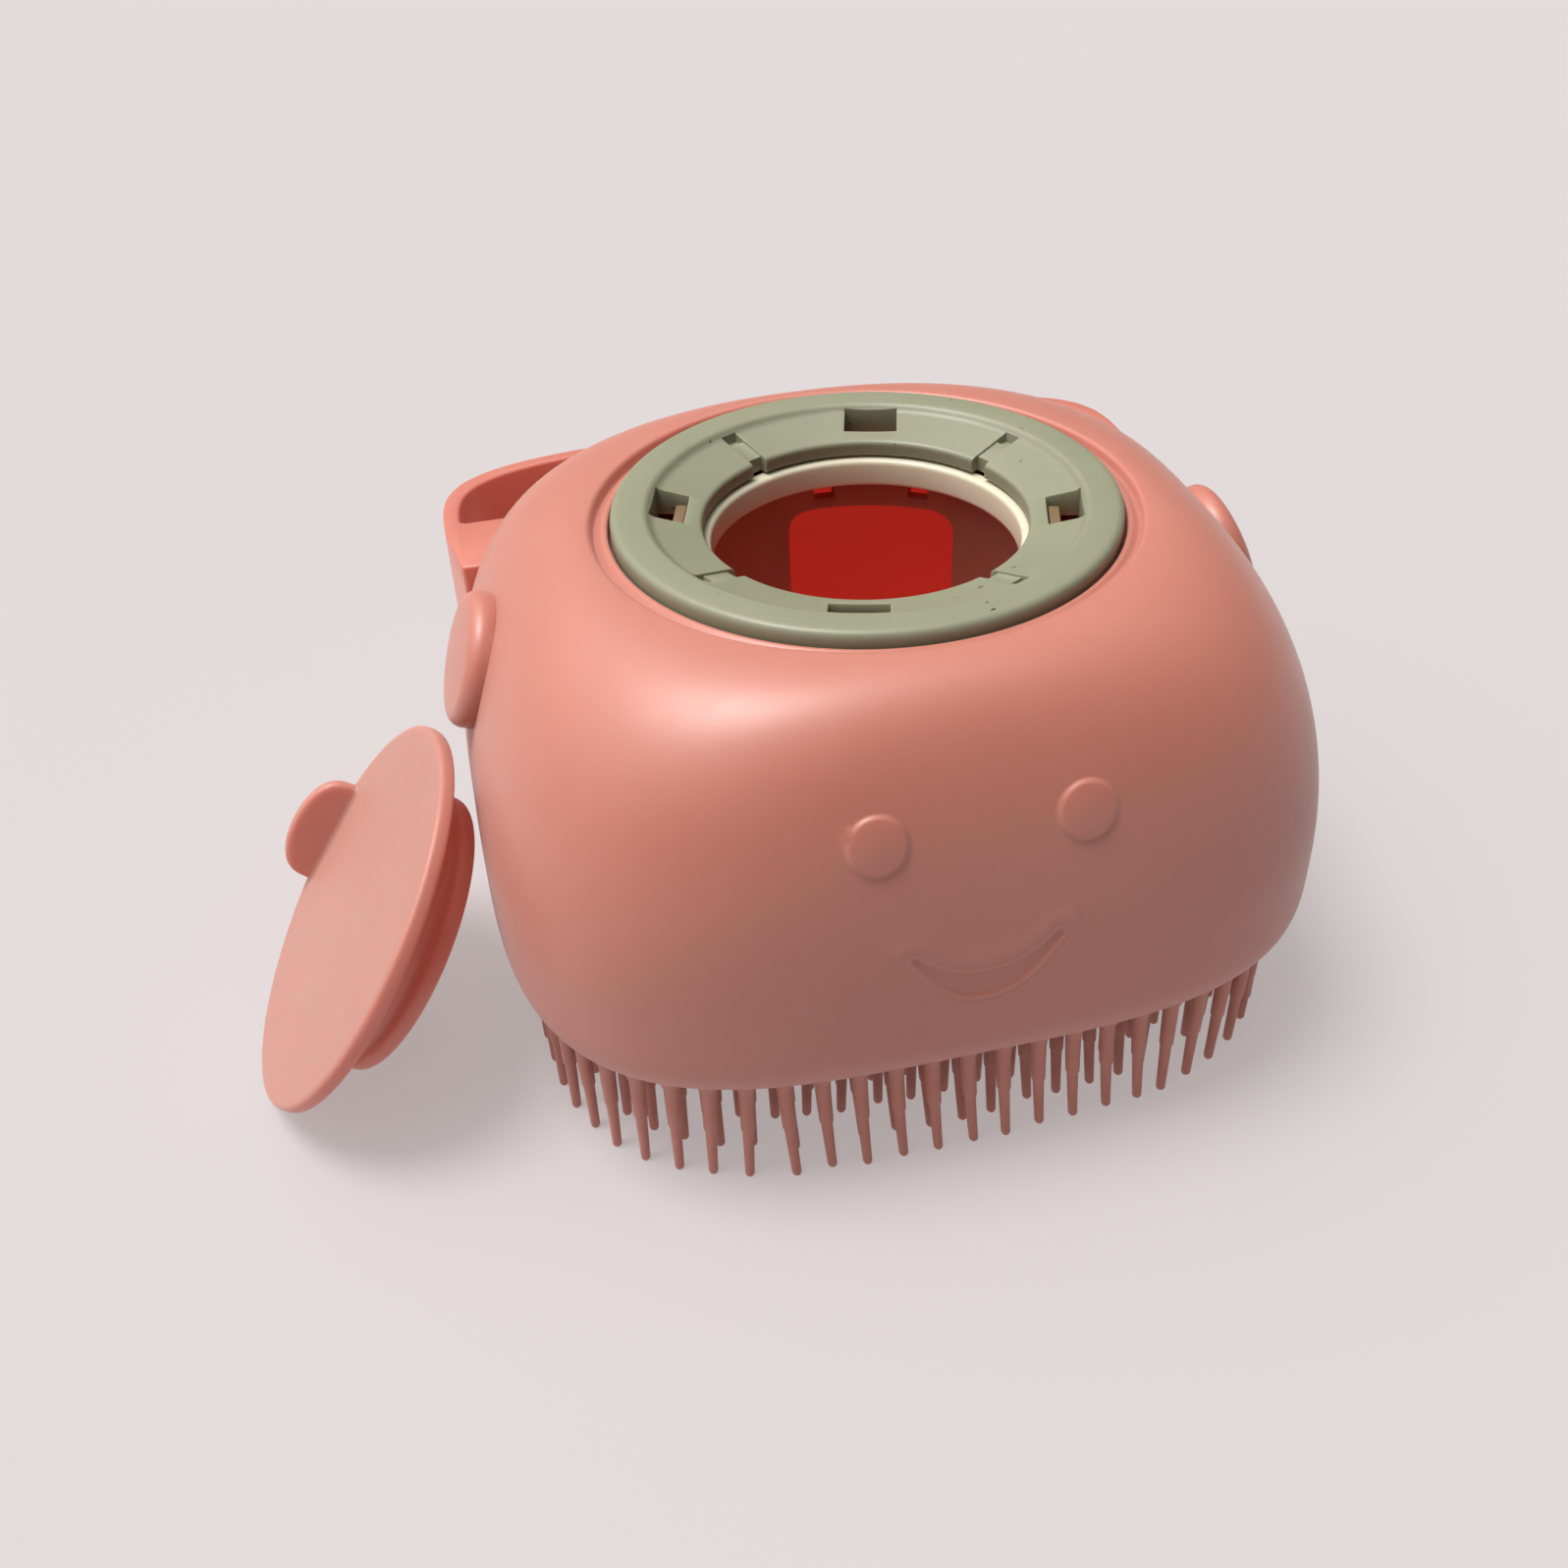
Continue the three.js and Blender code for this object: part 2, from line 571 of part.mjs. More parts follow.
// Turns the lid's +Y uphill and its +Z to the left and up, and stands its rim on the table.
function lidGroup() {
  const tilt = radians(LID_TILT);
  const yaw = radians(LID_YAW);
  const normal = new THREE.Vector3(
    -Math.cos(tilt) * Math.cos(yaw), -Math.cos(tilt) * Math.sin(yaw), Math.sin(tilt),
  );
  const level = new THREE.Vector3(0, 0, 1).cross(normal).normalize();
  const uphill = normal.clone().cross(level);
  const group = new THREE.Group();
  group.quaternion.setFromRotationMatrix(new THREE.Matrix4().makeBasis(level, uphill, normal));

  const plugEnd = -LID_THICKNESS - PLUG_HEIGHT;
  const plugEdges = [[PLUG_R, plugEnd + RIB_START], [PLUG_R - PLUG_RIB, plugEnd]];
  const rimEdges = [[LID_R - LID_EDGE, -LID_THICKNESS], [LID_R, LID_EDGE - LID_THICKNESS]];
  const reach = (edges) => Math.max(...edges.map(([r, z]) => r * uphill.x + z * normal.x));
  const lowest = Math.min(...rimEdges.map(([r, z]) => z * normal.z - r * uphill.z));
  const plugAtBody = BODY_HALF_X + GAP + reach(plugEdges);
  const rimAtEar = BODY_HALF_X + EAR_OUT + GAP + reach(rimEdges);
  const reachesEar = LID_R * uphill.z - lowest > EAR_BOTTOM;
  group.position.set(reachesEar ? -Math.max(plugAtBody, rimAtEar) : -plugAtBody, LID_Y, -lowest);
  group.add(piece('lid_cap', lidCap(), LID_SILICONE));
  group.add(piece('pull_tab', pullTab(), LID_SILICONE));
  group.add(piece('lid_plug', lidPlug(), LID_SILICONE));
  return group;
}

// ---------------------------------------------------------------- the whole object

const brush = new THREE.Group();
brush.add(piece('body_shell', bodyShell(), SILICONE));
brush.add(piece('bristle_pad', bristlePad(), SILICONE));
brush.add(piece('left_ear', ear(-1), SILICONE));
brush.add(piece('right_ear', ear(1), SILICONE));
brush.add(piece('hanging_strap', strap(), SILICONE));
brush.add(piece('clamp_ring', clampRing(), CLEAR_PLASTIC));
brush.add(piece('inner_cage', innerCage(), CLEAR_PLASTIC));
brush.add(piece('retaining_ring', retainingRing(), RING_PLASTIC));
brush.add(lidGroup());

export default brush;
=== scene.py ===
"""Looks of the scalp massager brush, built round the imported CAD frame.

Shapes are worked out in millimetres in the frame's axes and turned into metres as a mesh is
made. The silicone body is one skin: the face is raised on a superellipse dome, and the ears
and the rear strap are then joined to it.
"""

import math

import bmesh
import bpy
import numpy as np
from mathutils import Matrix, Vector


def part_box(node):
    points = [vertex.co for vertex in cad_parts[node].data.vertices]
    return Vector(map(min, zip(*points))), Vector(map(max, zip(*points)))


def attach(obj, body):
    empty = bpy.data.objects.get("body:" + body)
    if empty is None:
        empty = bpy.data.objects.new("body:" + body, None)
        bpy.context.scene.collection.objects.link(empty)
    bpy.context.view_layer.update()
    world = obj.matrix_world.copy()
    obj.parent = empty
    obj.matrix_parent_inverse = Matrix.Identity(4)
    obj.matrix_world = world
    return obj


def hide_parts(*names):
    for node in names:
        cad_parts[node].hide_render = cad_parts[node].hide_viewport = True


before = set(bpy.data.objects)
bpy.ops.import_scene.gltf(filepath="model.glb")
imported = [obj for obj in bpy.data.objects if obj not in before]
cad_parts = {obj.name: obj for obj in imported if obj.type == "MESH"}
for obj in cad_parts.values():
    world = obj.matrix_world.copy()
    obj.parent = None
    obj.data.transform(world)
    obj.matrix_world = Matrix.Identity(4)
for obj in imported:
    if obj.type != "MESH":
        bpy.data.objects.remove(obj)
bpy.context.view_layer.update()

MM = 0.001
rng = np.random.default_rng(7)


def box_mm(node):
    """Lowest and highest corner of a CAD node, in millimetres."""
    low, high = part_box(node)
    return np.array(low) / MM, np.array(high) / MM


# ------------------------------------------------------------------ sizes from the frame

PAD_HIGH = box_mm("bristle_pad")[1]
SHELL_HIGH = box_mm("body_shell")[1]
RING_LOW, RING_HIGH = box_mm("retaining_ring")
CLAMP_LOW, CLAMP_HIGH = box_mm("clamp_ring")
CAGE_LOW, CAGE_HIGH = box_mm("inner_cage")
STRAP_LOW, STRAP_HIGH = box_mm("hanging_strap")

BODY_HALF_X = SHELL_HIGH[0]
BODY_HALF_Y = SHELL_HIGH[1]
BODY_TOP = SHELL_HIGH[2]
PAD_TOP = PAD_HIGH[2]
RING_R = RING_HIGH[0]
RING_TOP = RING_HIGH[2]
RING_FLOOR_BOTTOM = RING_LOW[2]

# ------------------------------------------------------------------ sizes that a box can't give

# Body, in millimetres like all sizes down to the camera's
PAD_THICKNESS = 2.7
BODY_POWER = 3.5
WIDEST_HEIGHT = 9.8
FOOT_INSET = 2.63
FOOT_POWER = 5
SHOULDER_POWER = 2.1
SHOULDER_STEPS = 200
LIP_STEPS = 14        # the last steps of the shoulder, which the rounded lip takes up
SKIN = 2.6
GROOVE_WIDTH = 1.9
GROOVE_DEPTH = 1.8
SEAT_THICKNESS = 1.6
SEAT_R = 21.2
CLEARANCE = 0.3

UNDERSIDE = PAD_TOP - PAD_THICKNESS
WIDEST_Z = UNDERSIDE + WIDEST_HEIGHT
LIP_R = RING_R + GROOVE_WIDTH
GROOVE_Z = BODY_TOP - GROOVE_DEPTH
SEAT_BOTTOM = GROOVE_Z - SEAT_THICKNESS

# Ears: round buttons, tilted up, whose backs stand inside the body's wall
EAR_R = 6.8
EAR_Y = 3.1
EAR_DROP = 11.5
EAR_INSET = 0.4
EAR_TILT = math.radians(20)
EAR_BACK = -8.0
EAR_EDGE = 1.5
EAR_CROWN = 0.25

# Strap
STRAP_MIDDLE_Y = 28.0
STRAP_THICKNESS = 1.8
STRAP_POWER = 3.8
STRAP_SLOT_Y = 30.0
STRAP_WEB_REACH = 3.0
STRAP_ROOT_X = 31.5
STRAP_EDGE = 0.55

# Face: where the fine mesh for it lies, then the eyes and the mouth
FACE_Z = 34.0
FACE_REACH = 14
FACE_HALF_X = 20
FACE_FRONT_Y = -25
EYE_R = 2.65
EYE_X = 9.2
EYE_Z = BODY_TOP - 11.4
EYE_LIFT = 0.30
EYE_DOME = 0.14
MOUTH_X = 0.3
MOUTH_Z = UNDERSIDE + 15.2
MOUTH_HALF = 7.4
MOUTH_TILT = 0.15
LOWER_LIP = {"half": 6.7, "rise": -0.4, "sag": 4.9}
UPPER_LIP = {"half": 6.3, "rise": 0.85, "sag": 2.9}
SAG_POWER = 2.2
RIGHT_CORNER = [(7.35, 0.1), (7.45, 0.55), (7.1, 0.95)]      # X, and height above MOUTH_Z
LEFT_CORNER = [(-6.5, 0.75), (-6.85, 0.3), (-6.75, -0.2)]
MOUTH_SINK = 0.22
MOUTH_RIM = 0.26
MOUTH_BROW = 0.10

# Bristles: rows run round the field, and the first row without bristles holds the soap outlets
ROW_STEP = 3.2
DENSE_ROWS = 4
EDGE_PITCH = 3.45
INNER_PITCH = 5.6
FIELD_HALF_X = BODY_HALF_X - FOOT_INSET - 0.7
FIELD_HALF_Y = BODY_HALF_Y - FOOT_INSET - 1.1
FIELD_POWER = 3.7
OUTLET_COUNT = 8
OUTLET_R = 1.0
BRISTLE_SIDES = 14
TIP_SCATTER = 0.14
TIP_SWEEP = 0.75
SWEPT_HALF_X = 20
FRONT_SHARE = 0.85

# Height above the tips and radius of one bristle: a thin tip, a step to a thicker shaft, and a
# collar at the root
BRISTLE_PROFILE = [
    (0.0, 0.24), (0.08, 0.38), (0.3, 0.47), (3.0, 0.51), (6.0, 0.57), (6.2, 0.62), (6.35, 0.69),
    (9.0, 0.74), (11.75, 0.79), (11.9, 0.92), (12.1, 1.03), (12.5, 1.07), (12.8, 1.2), (13.4, 1.5),
]

# Filling ring: a rim, and a floor that falls towards the hole
RING_TURN = math.radians(-17.3)
RIM_WIDTH = 3.9
RIM_STEP = 0.7
RIM_THICKNESS = 2.6
FLOOR_FALL = 1.2
HOLE_R = 15.7
RECESS_R = RING_R - RIM_WIDTH
RECESS_Z = RING_TOP - RIM_STEP
HOLE_Z = RECESS_Z - FLOOR_FALL
SLOT_LENGTH = 5.5
SLOT_WIDTH = 3.3
SLOT_R = RECESS_R - SLOT_WIDTH / 2
CHANNEL_WIDTH = 1.8
CHANNEL_DEPTH = 0.7
POCKET_LENGTH = 1.3
THROUGH = 8

# Clamp ring
NECK_R = 15.0
NECK_WALL = 1.6
HOOK_THICKNESS = 1.0
HOOK_SIDE_GAP = 0.9
HOOK_FOOT = 0.6

# Cage
CAGE_WALL = 1.4
WINDOW_WIDTH = 18
WINDOW_HEIGHT = 15
WINDOW_CORNER = 2.6
WINDOW_DROP = 4.6
PORT_SIZE = 2.2
PORT_Y = 5.6
PORT_DROP = 2.3

# Lid
LID_R = RECESS_R - 0.3
LID_THICKNESS = 1.7
PLUG_R = 14.65
PLUG_HEIGHT = 5.5
TAB_LENGTH = 12.0
TAB_HEIGHT = 4.6
TAB_THICKNESS = 1.5
TAB_R = 17.6
TAB_ANGLE = math.radians(192)
TAB_LEAN = 0.05
SKIN_VOXEL = 0.22

# Camera and light, with places in metres and angles in degrees
CAMERA_PLACE = (-0.03842, -0.13804, 0.12700)
CAMERA_AZIMUTH = -11.99
CAMERA_ELEVATION = 37.23
CAMERA_ROLL = -2.39
CAMERA_LENS = 38.2
SKY_STRENGTH = 1.75
SKY_TOWARDS = (-0.46, 0.18, 0.87)     # where the sky is brightest
KEY_STRENGTH = 3.2
KEY_ANGLE = 26
KEY_COLOUR = (1.0, 0.98, 0.96)
KEY_TOWARDS = (-0.30, 0.05, 1.0)
FLOOR_HALF = 3.0
FLOOR_LIGHT = (0.40, 0.362, 0.36)     # a lit floor keeps the backdrop pale and its shadows soft


# ------------------------------------------------------------------ mesh helpers

def mesh_object(name, points, faces, smooth=True):
    """An object from points in millimetres."""
    mesh = bpy.data.meshes.new(name)
    mesh.from_pydata((np.asarray(points) * MM).tolist(), [], faces)
    mesh.validate()
    obj = bpy.data.objects.new(name, mesh)
    bpy.context.collection.objects.link(obj)
    if smooth:
        mesh.shade_smooth()
    return obj


def loft(rings, looped=False):
    """Points and faces of a closed surface through rings that all have the same count."""
    count = len(rings[0])
    points = np.concatenate(rings)
    faces = []
    rows = len(rings) if looped else len(rings) - 1
    for row in range(rows):
        here = row * count
        there = ((row + 1) % len(rings)) * count
        for i in range(count):
            j = (i + 1) % count
            faces.append((here + i, here + j, there + j, there + i))
    if not looped:
        top = (len(rings) - 1) * count
        faces.append(tuple(range(count))[::-1])
        faces.append(tuple(top + i for i in range(count)))
    return points, faces


def lathe(profile, sides):
    """A closed body of revolution about +Z from (radius, height) points."""
    angles = np.linspace(0, 2 * np.pi, sides, endpoint=False)
    rings = []
    for radius, height in profile:
        rings.append(np.stack([radius * np.cos(angles), radius * np.sin(angles),
                               np.full(sides, float(height))], 1))
    return loft(rings, looped=True)


def rounded(points, radius, steps=4):
    """A closed outline with its corners rounded. A point's third number is its own radius."""
    outline = []
    count = len(points)
    for k, point in enumerate(points):
        here = np.array(point[:2], float)
        before = np.array(points[k - 1][:2], float) - here
        after = np.array(points[(k + 1) % count][:2], float) - here
        lengths = np.linalg.norm(before), np.linalg.norm(after)
        want = point[2] if len(point) > 2 else radius
        reach = min(want, 0.45 * min(lengths))
        if reach < 1e-3:
            outline.append(here)
            continue
        start = here + before / lengths[0] * reach
        end = here + after / lengths[1] * reach
        for t in np.linspace(0, 1, steps + 1):
            outline.append((1 - t) ** 2 * start + 2 * t * (1 - t) * here + t ** 2 * end)
    return outline


def superellipse(half_x, half_y, power, z, angles, centre_y=0.0):
    """Points of a level superellipse in the directions given."""
    c, s = np.cos(angles), np.sin(angles)
    r = (np.abs(c / half_x) ** power + np.abs(s / half_y) ** power) ** (-1 / power)
    return np.stack([r * c, centre_y + r * s, np.full(len(angles), float(z))], 1)


def even_angles(half_x, half_y, power, count):
    """Angles that space a superellipse's points evenly along it."""
    fine = np.linspace(0, 2 * np.pi, 4001)
    points = superellipse(half_x, half_y, power, 0, fine)
    run = np.concatenate([[0], np.cumsum(np.linalg.norm(np.diff(points, axis=0), axis=1))])
    return np.interp(np.linspace(0, run[-1], count, endpoint=False), run, fine)


def resample(curve, step):
    """Rows of a curve spaced evenly, measured by their first and last columns."""
    curve = np.asarray(curve, float)
    moves = np.diff(curve[:, [0, -1]], axis=0)
    run = np.concatenate([[0], np.cumsum(np.linalg.norm(moves, axis=1))])
    count = max(int(run[-1] / step), 2)
    at = np.linspace(0, run[-1], count + 1)
    return np.stack([np.interp(at, run, curve[:, k]) for k in range(curve.shape[1])], 1)


def boolean(obj, cutter, operation="DIFFERENCE"):
    """Cuts or joins with a closed mesh, which is removed afterwards."""
    step = obj.modifiers.new("boolean", "BOOLEAN")
    step.operation = operation
    step.solver = "MANIFOLD"
    if operation == "UNION":
        step.material_mode = "TRANSFER"
    step.object = cutter
    apply_modifiers(obj)
    bpy.data.objects.remove(cutter)


def apply_modifiers(obj):
    """Replaces an object's mesh with the one its modifiers make."""
    bpy.context.view_layer.update()
    graph = bpy.context.evaluated_depsgraph_get()
    mesh = bpy.data.meshes.new_from_object(obj.evaluated_get(graph))
    obj.modifiers.clear()
    old = obj.data
    obj.data = mesh
    bpy.data.meshes.remove(old)


def join(objects, name):
    """One object from several."""
    for obj in bpy.context.selected_objects:
        obj.select_set(False)
    for obj in objects:
        obj.select_set(True)
    bpy.context.view_layer.objects.active = objects[0]
    bpy.ops.object.join()
    whole = bpy.context.view_layer.objects.active
    whole.name = name
    whole.data.name = name
    return whole


def turned(points, angle):
    """Points turned about +Z."""
    c, s = math.cos(angle), math.sin(angle)
    return points @ np.array([[c, s, 0], [-s, c, 0], [0, 0, 1]])


def turned_box(size, centre, angle, rise=0.0):
    """A box sloped up along its X, placed, then turned about +Z, as a closed mesh object."""
    signs = np.array([[x, y, z] for x in (-1, 1) for y in (-1, 1) for z in (-1, 1)])
    corners = signs * (np.array(size) / 2)
    c, s = math.cos(rise), math.sin(rise)
    corners = corners @ np.array([[c, 0, s], [0, 1, 0], [-s, 0, c]]) + centre
    faces = [(0, 1, 3, 2), (4, 6, 7, 5), (0, 4, 5, 1), (2, 3, 7, 6), (0, 2, 6, 4), (1, 5, 7, 3)]
    return mesh_object("cutter", turned(corners, angle), faces, smooth=False)


def bevel(obj, width, angle, segments=2):
    """Rounds the edges that are sharper than an angle in degrees."""
    step = obj.modifiers.new("bevel", "BEVEL")
    step.width = width * MM
    step.segments = segments
    step.limit_method = "ANGLE"
    step.angle_limit = math.radians(angle)
    step.harden_normals = False
    apply_modifiers(obj)
    smooth_by_angle(obj)


def smooth_by_angle(obj, angle=40):
    """Smooth shading, but for edges that are sharper than an angle in degrees."""
    obj.data.shade_smooth()
    obj.data.set_sharp_from_angle(angle=math.radians(angle))


def points_of(obj):
    """Vertices and vertex normals of an object, in millimetres."""
    mesh = obj.data
    points = np.empty(3 * len(mesh.vertices))
    mesh.vertices.foreach_get("co", points)
    normals = np.empty(3 * len(mesh.vertices))
    mesh.vertex_normals.foreach_get("vector", normals)
    return points.reshape(-1, 3) / MM, normals.reshape(-1, 3)


def set_points(obj, points):
    """Moves an object's vertices to points in millimetres."""
    obj.data.vertices.foreach_set("co", (points * MM).ravel())
    obj.data.update()


# ------------------------------------------------------------------ materials

def new_material(name):
    """A material and its one shader."""
    material = bpy.data.materials.new(name)
    material.use_nodes = True
    nodes = material.node_tree.nodes
    nodes.clear()
    output = nodes.new("ShaderNodeOutputMaterial")
    shader = nodes.new("ShaderNodeBsdfPrincipled")
    material.node_tree.links.new(shader.outputs["BSDF"], output.inputs["Surface"])
    return material, shader


def noise(tree, scale, detail):
    """Object-space noise with this many features to a metre."""
    place = tree.nodes.new("ShaderNodeTexCoord")
    texture = tree.nodes.new("ShaderNodeTexNoise")
    texture.inputs["Scale"].default_value = scale
    texture.inputs["Detail"].default_value = detail
    tree.links.new(place.outputs["Object"], texture.inputs["Vector"])
    return texture.outputs["Fac"]


def ramp(tree, value, stops):
    """Colours along a value from 0 to 1."""
    node = tree.nodes.new("ShaderNodeValToRGB")
    elements = node.color_ramp.elements
    while len(elements) < len(stops):
        elements.new(0.5)
    for element, (at, colour) in zip(elements, stops):
        element.position = at
        element.color = (*colour, 1.0)
    tree.links.new(value, node.inputs["Fac"])
    return node.outputs["Color"]


def multiply(tree, first, second):
    """The product of two colour sockets."""
    node = tree.nodes.new("ShaderNodeMix")
    node.data_type = "RGBA"
    node.blend_type = "MULTIPLY"
    colours = [socket for socket in node.inputs if socket.type == "RGBA"]
    node.inputs["Factor"].default_value = 1.0
    tree.links.new(first, colours[0])
    tree.links.new(second, colours[1])
    return [socket for socket in node.outputs if socket.type == "RGBA"][0]


def uneven_roughness(tree, shader, middle, spread, scale):
    """Roughness that wanders about a middle value."""
    dull = tree.nodes.new("ShaderNodeMapRange")
    dull.inputs["To Min"].default_value = middle - spread
    dull.inputs["To Max"].default_value = middle + spread
    tree.links.new(noise(tree, scale, 3), dull.inputs["Value"])
    tree.links.new(dull.outputs["Result"], shader.inputs["Roughness"])


def scattering(shader, weight, radius, depth):
    """Light that goes into the surface by a depth in millimetres."""
    shader.inputs["Subsurface Weight"].default_value = weight
    shader.inputs["Subsurface Radius"].default_value = radius
    shader.inputs["Subsurface Scale"].default_value = depth * MM


def bump(tree, shader, layers):
    """Stacks bump layers, each a height socket, a strength and a distance in metres."""
    normal = None
    for height, strength, distance in layers:
        node = tree.nodes.new("ShaderNodeBump")
        node.inputs["Strength"].default_value = strength
        node.inputs["Distance"].default_value = distance
        tree.links.new(height, node.inputs["Height"])
        if normal is not None:
            tree.links.new(normal, node.inputs["Normal"])
        normal = node.outputs["Normal"]
    tree.links.new(normal, shader.inputs["Normal"])


def silicone(name, light, dark, roughness, scatter=0.25, depth=2.2):
    """Soft pigmented silicone: light goes a little way in, and fine dust dulls the gloss."""
    material, shader = new_material(name)
    tree = material.node_tree
    colour = ramp(tree, noise(tree, 45, 4), [(0.35, dark), (0.65, light)])
    tree.links.new(colour, shader.inputs["Base Color"])
    uneven_roughness(tree, shader, roughness, 0.07, 160)
    scattering(shader, scatter, (1.0, 0.22, 0.13), depth)
    shader.inputs["IOR"].default_value = 1.43
    shader.inputs["Specular IOR Level"].default_value = 0.8
    shader.inputs["Sheen Weight"].default_value = 0.12
    shader.inputs["Sheen Roughness"].default_value = 0.5
    bump(tree, shader, [(noise(tree, 2600, 2), 0.10, 0.00004), (noise(tree, 120, 2), 0.06, 0.0002)])
    return material


def add_painted_glow(material, colour, strength):
    """Painted glow: an emission that stands in for the light that comes through a thin wall from its far
    side.
    """
    shader = material.node_tree.nodes["Principled BSDF"]
    shader.inputs["Emission Color"].default_value = (*colour, 1)
    shader.inputs["Emission Strength"].default_value = strength


def moulded_plastic(name, light, dark, roughness, scatter, specks=True):
    """Moulded plastic with a faint mottle, fine grain and, if wanted, a few dark specks."""
    material, shader = new_material(name)
    tree = material.node_tree
    colour = ramp(tree, noise(tree, 110, 5), [(0.35, dark), (0.65, light)])
    if specks:
        spots = ramp(tree, noise(tree, 1500, 0), [(0.125, (0.12, 0.1, 0.07)), (0.145, (1, 1, 1))])
        colour = multiply(tree, colour, spots)
    tree.links.new(colour, shader.inputs["Base Color"])
    uneven_roughness(tree, shader, roughness, 0.08, 300)
    scattering(shader, scatter, (1.0, 0.9, 0.6), 1.2)
    shader.inputs["IOR"].default_value = 1.5
    bump(tree, shader, [(noise(tree, 3500, 2), 0.08, 0.00003), (noise(tree, 260, 2), 0.05, 0.0001)])
    return material


def paint(obj, *materials):
    """Sets an object's materials; with more than one, each face keeps its material's index."""
    used = [face.material_index for face in obj.data.polygons]
    obj.data.materials.clear()
    for material in materials:
        obj.data.materials.append(material)
    if len(materials) > 1:
        obj.data.polygons.foreach_set("material_index", used)


# ------------------------------------------------------------------ silicone body

def body_section(z, inset=0.0):
    """Half sizes, power and height of the body's section, at or below its widest."""
    drop = FOOT_INSET * ((WIDEST_Z - z) / WIDEST_HEIGHT) ** FOOT_POWER
    return BODY_HALF_X - inset - drop, BODY_HALF_Y - inset - drop, BODY_POWER, z


def shoulder(lip, top, inset=0.0):
    """Sections from the widest height up to the lip, as rows of half sizes, power and height."""
    turn = np.linspace(0.0, np.pi / 2, SHOULDER_STEPS)
    full = np.cos(turn) ** (2 / SHOULDER_POWER)
    rise = np.sin(turn) ** (2 / SHOULDER_POWER)
    wide_x = BODY_HALF_X - inset
    wide_y = BODY_HALF_Y - inset
    return np.stack([lip + (wide_x - lip) * full, lip + (wide_y - lip) * full,
                     2 + (BODY_POWER - 2) * full, WIDEST_Z + (top - WIDEST_Z) * rise], 1)


def mouth_rows(angles):
    """Rings of the mouth. In front the silicone hugs the ring, elsewhere a gutter runs round it."""
    hug = (0.5 - 0.5 * np.sin(angles)) ** 3
    wall = RING_R + CLEARANCE
    top, low = BODY_TOP, GROOVE_Z
    apart = np.array(rounded([
        (LIP_R + 1.2, top - 0.07, 0), (LIP_R + 0.2, top, 0.9), (LIP_R - 0.1, low + 0.5, 0.5),
        (wall + 0.5, low + 1.5, 0.4), (wall, low + 1.4, 0.2), (wall, low, 0.1), (SEAT_R, low, 0.2),
        (SEAT_R, SEAT_BOTTOM, 0.2), (LIP_R - SKIN / 2, SEAT_BOTTOM, 0.5),
    ], 0.3))
    close = np.array(rounded([
        (LIP_R + 1.2, top - 0.07, 0), (LIP_R - 0.5, top - 0.03, 0.9), (LIP_R - 1.0, low + 1.65, 0.5),
        (wall + 0.3, low + 1.65, 0.4), (wall, low + 1.55, 0.2), (wall, low, 0.1), (SEAT_R, low, 0.2),
        (SEAT_R, SEAT_BOTTOM, 0.2), (LIP_R - SKIN / 2, SEAT_BOTTOM, 0.5),
    ], 0.3))
    rings = []
    for (r0, z0), (r1, z1) in zip(apart, close):
        radius = r0 + (r1 - r0) * hug
        height = z0 + (z1 - z0) * hug
        rings.append(np.stack([radius * np.cos(angles), radius * np.sin(angles), height], 1))
    return rings


def front_wall(x, z):
    """Y of the outer front wall at these places."""
    rows = shoulder(LIP_R, BODY_TOP)
    half_x, half_y, power = (np.interp(z, rows[:, 3], rows[:, k]) for k in range(3))
    return -half_y * (1 - np.abs(x / half_x) ** power) ** (1 / power)


def filled(section, angles):
    """Rings that fill a flat section from near its middle to near its edge."""
    half_x, half_y, power, z = section
    return [superellipse(half_x * share, half_y * share, power, z, angles)
            for share in np.linspace(0.04, 0.97, 14)]


def body_dome():
    """The outside, the mouth and the hollow inside as one closed surface. Inside faces use the second
    material, painted a deep red with a glow that stand in for light inside the body."""
    foot = np.array([body_section(z) for z in np.linspace(UNDERSIDE, WIDEST_Z, 80)])
    outside = np.concatenate([foot[:-1], shoulder(LIP_R, BODY_TOP)[:-LIP_STEPS]])
    ceiling = shoulder(LIP_R - SKIN / 2, SEAT_BOTTOM, SKIN)[::-1]
    floor_foot = np.array([body_section(z, SKIN) for z in np.linspace(WIDEST_Z, PAD_TOP, 20)])
    angles = even_angles(BODY_HALF_X, BODY_HALF_Y, BODY_POWER, 320)
    rings = filled(body_section(UNDERSIDE), angles)
    for row in resample(outside, 0.45):
        rings.append(superellipse(*row, angles))
    rings += mouth_rows(angles)
    inside = len(rings)
    for row in resample(np.concatenate([ceiling[3:], floor_foot[1:]]), 0.9):
        rings.append(superellipse(*row, angles))
    rings += filled(body_section(PAD_TOP, SKIN), angles)[::-1]
    points, faces = loft(rings)
    obj = mesh_object("brush_body", points, faces)
    for face in obj.data.polygons:
        face.material_index = int(face.vertices[0] >= inside * len(angles))
    return obj


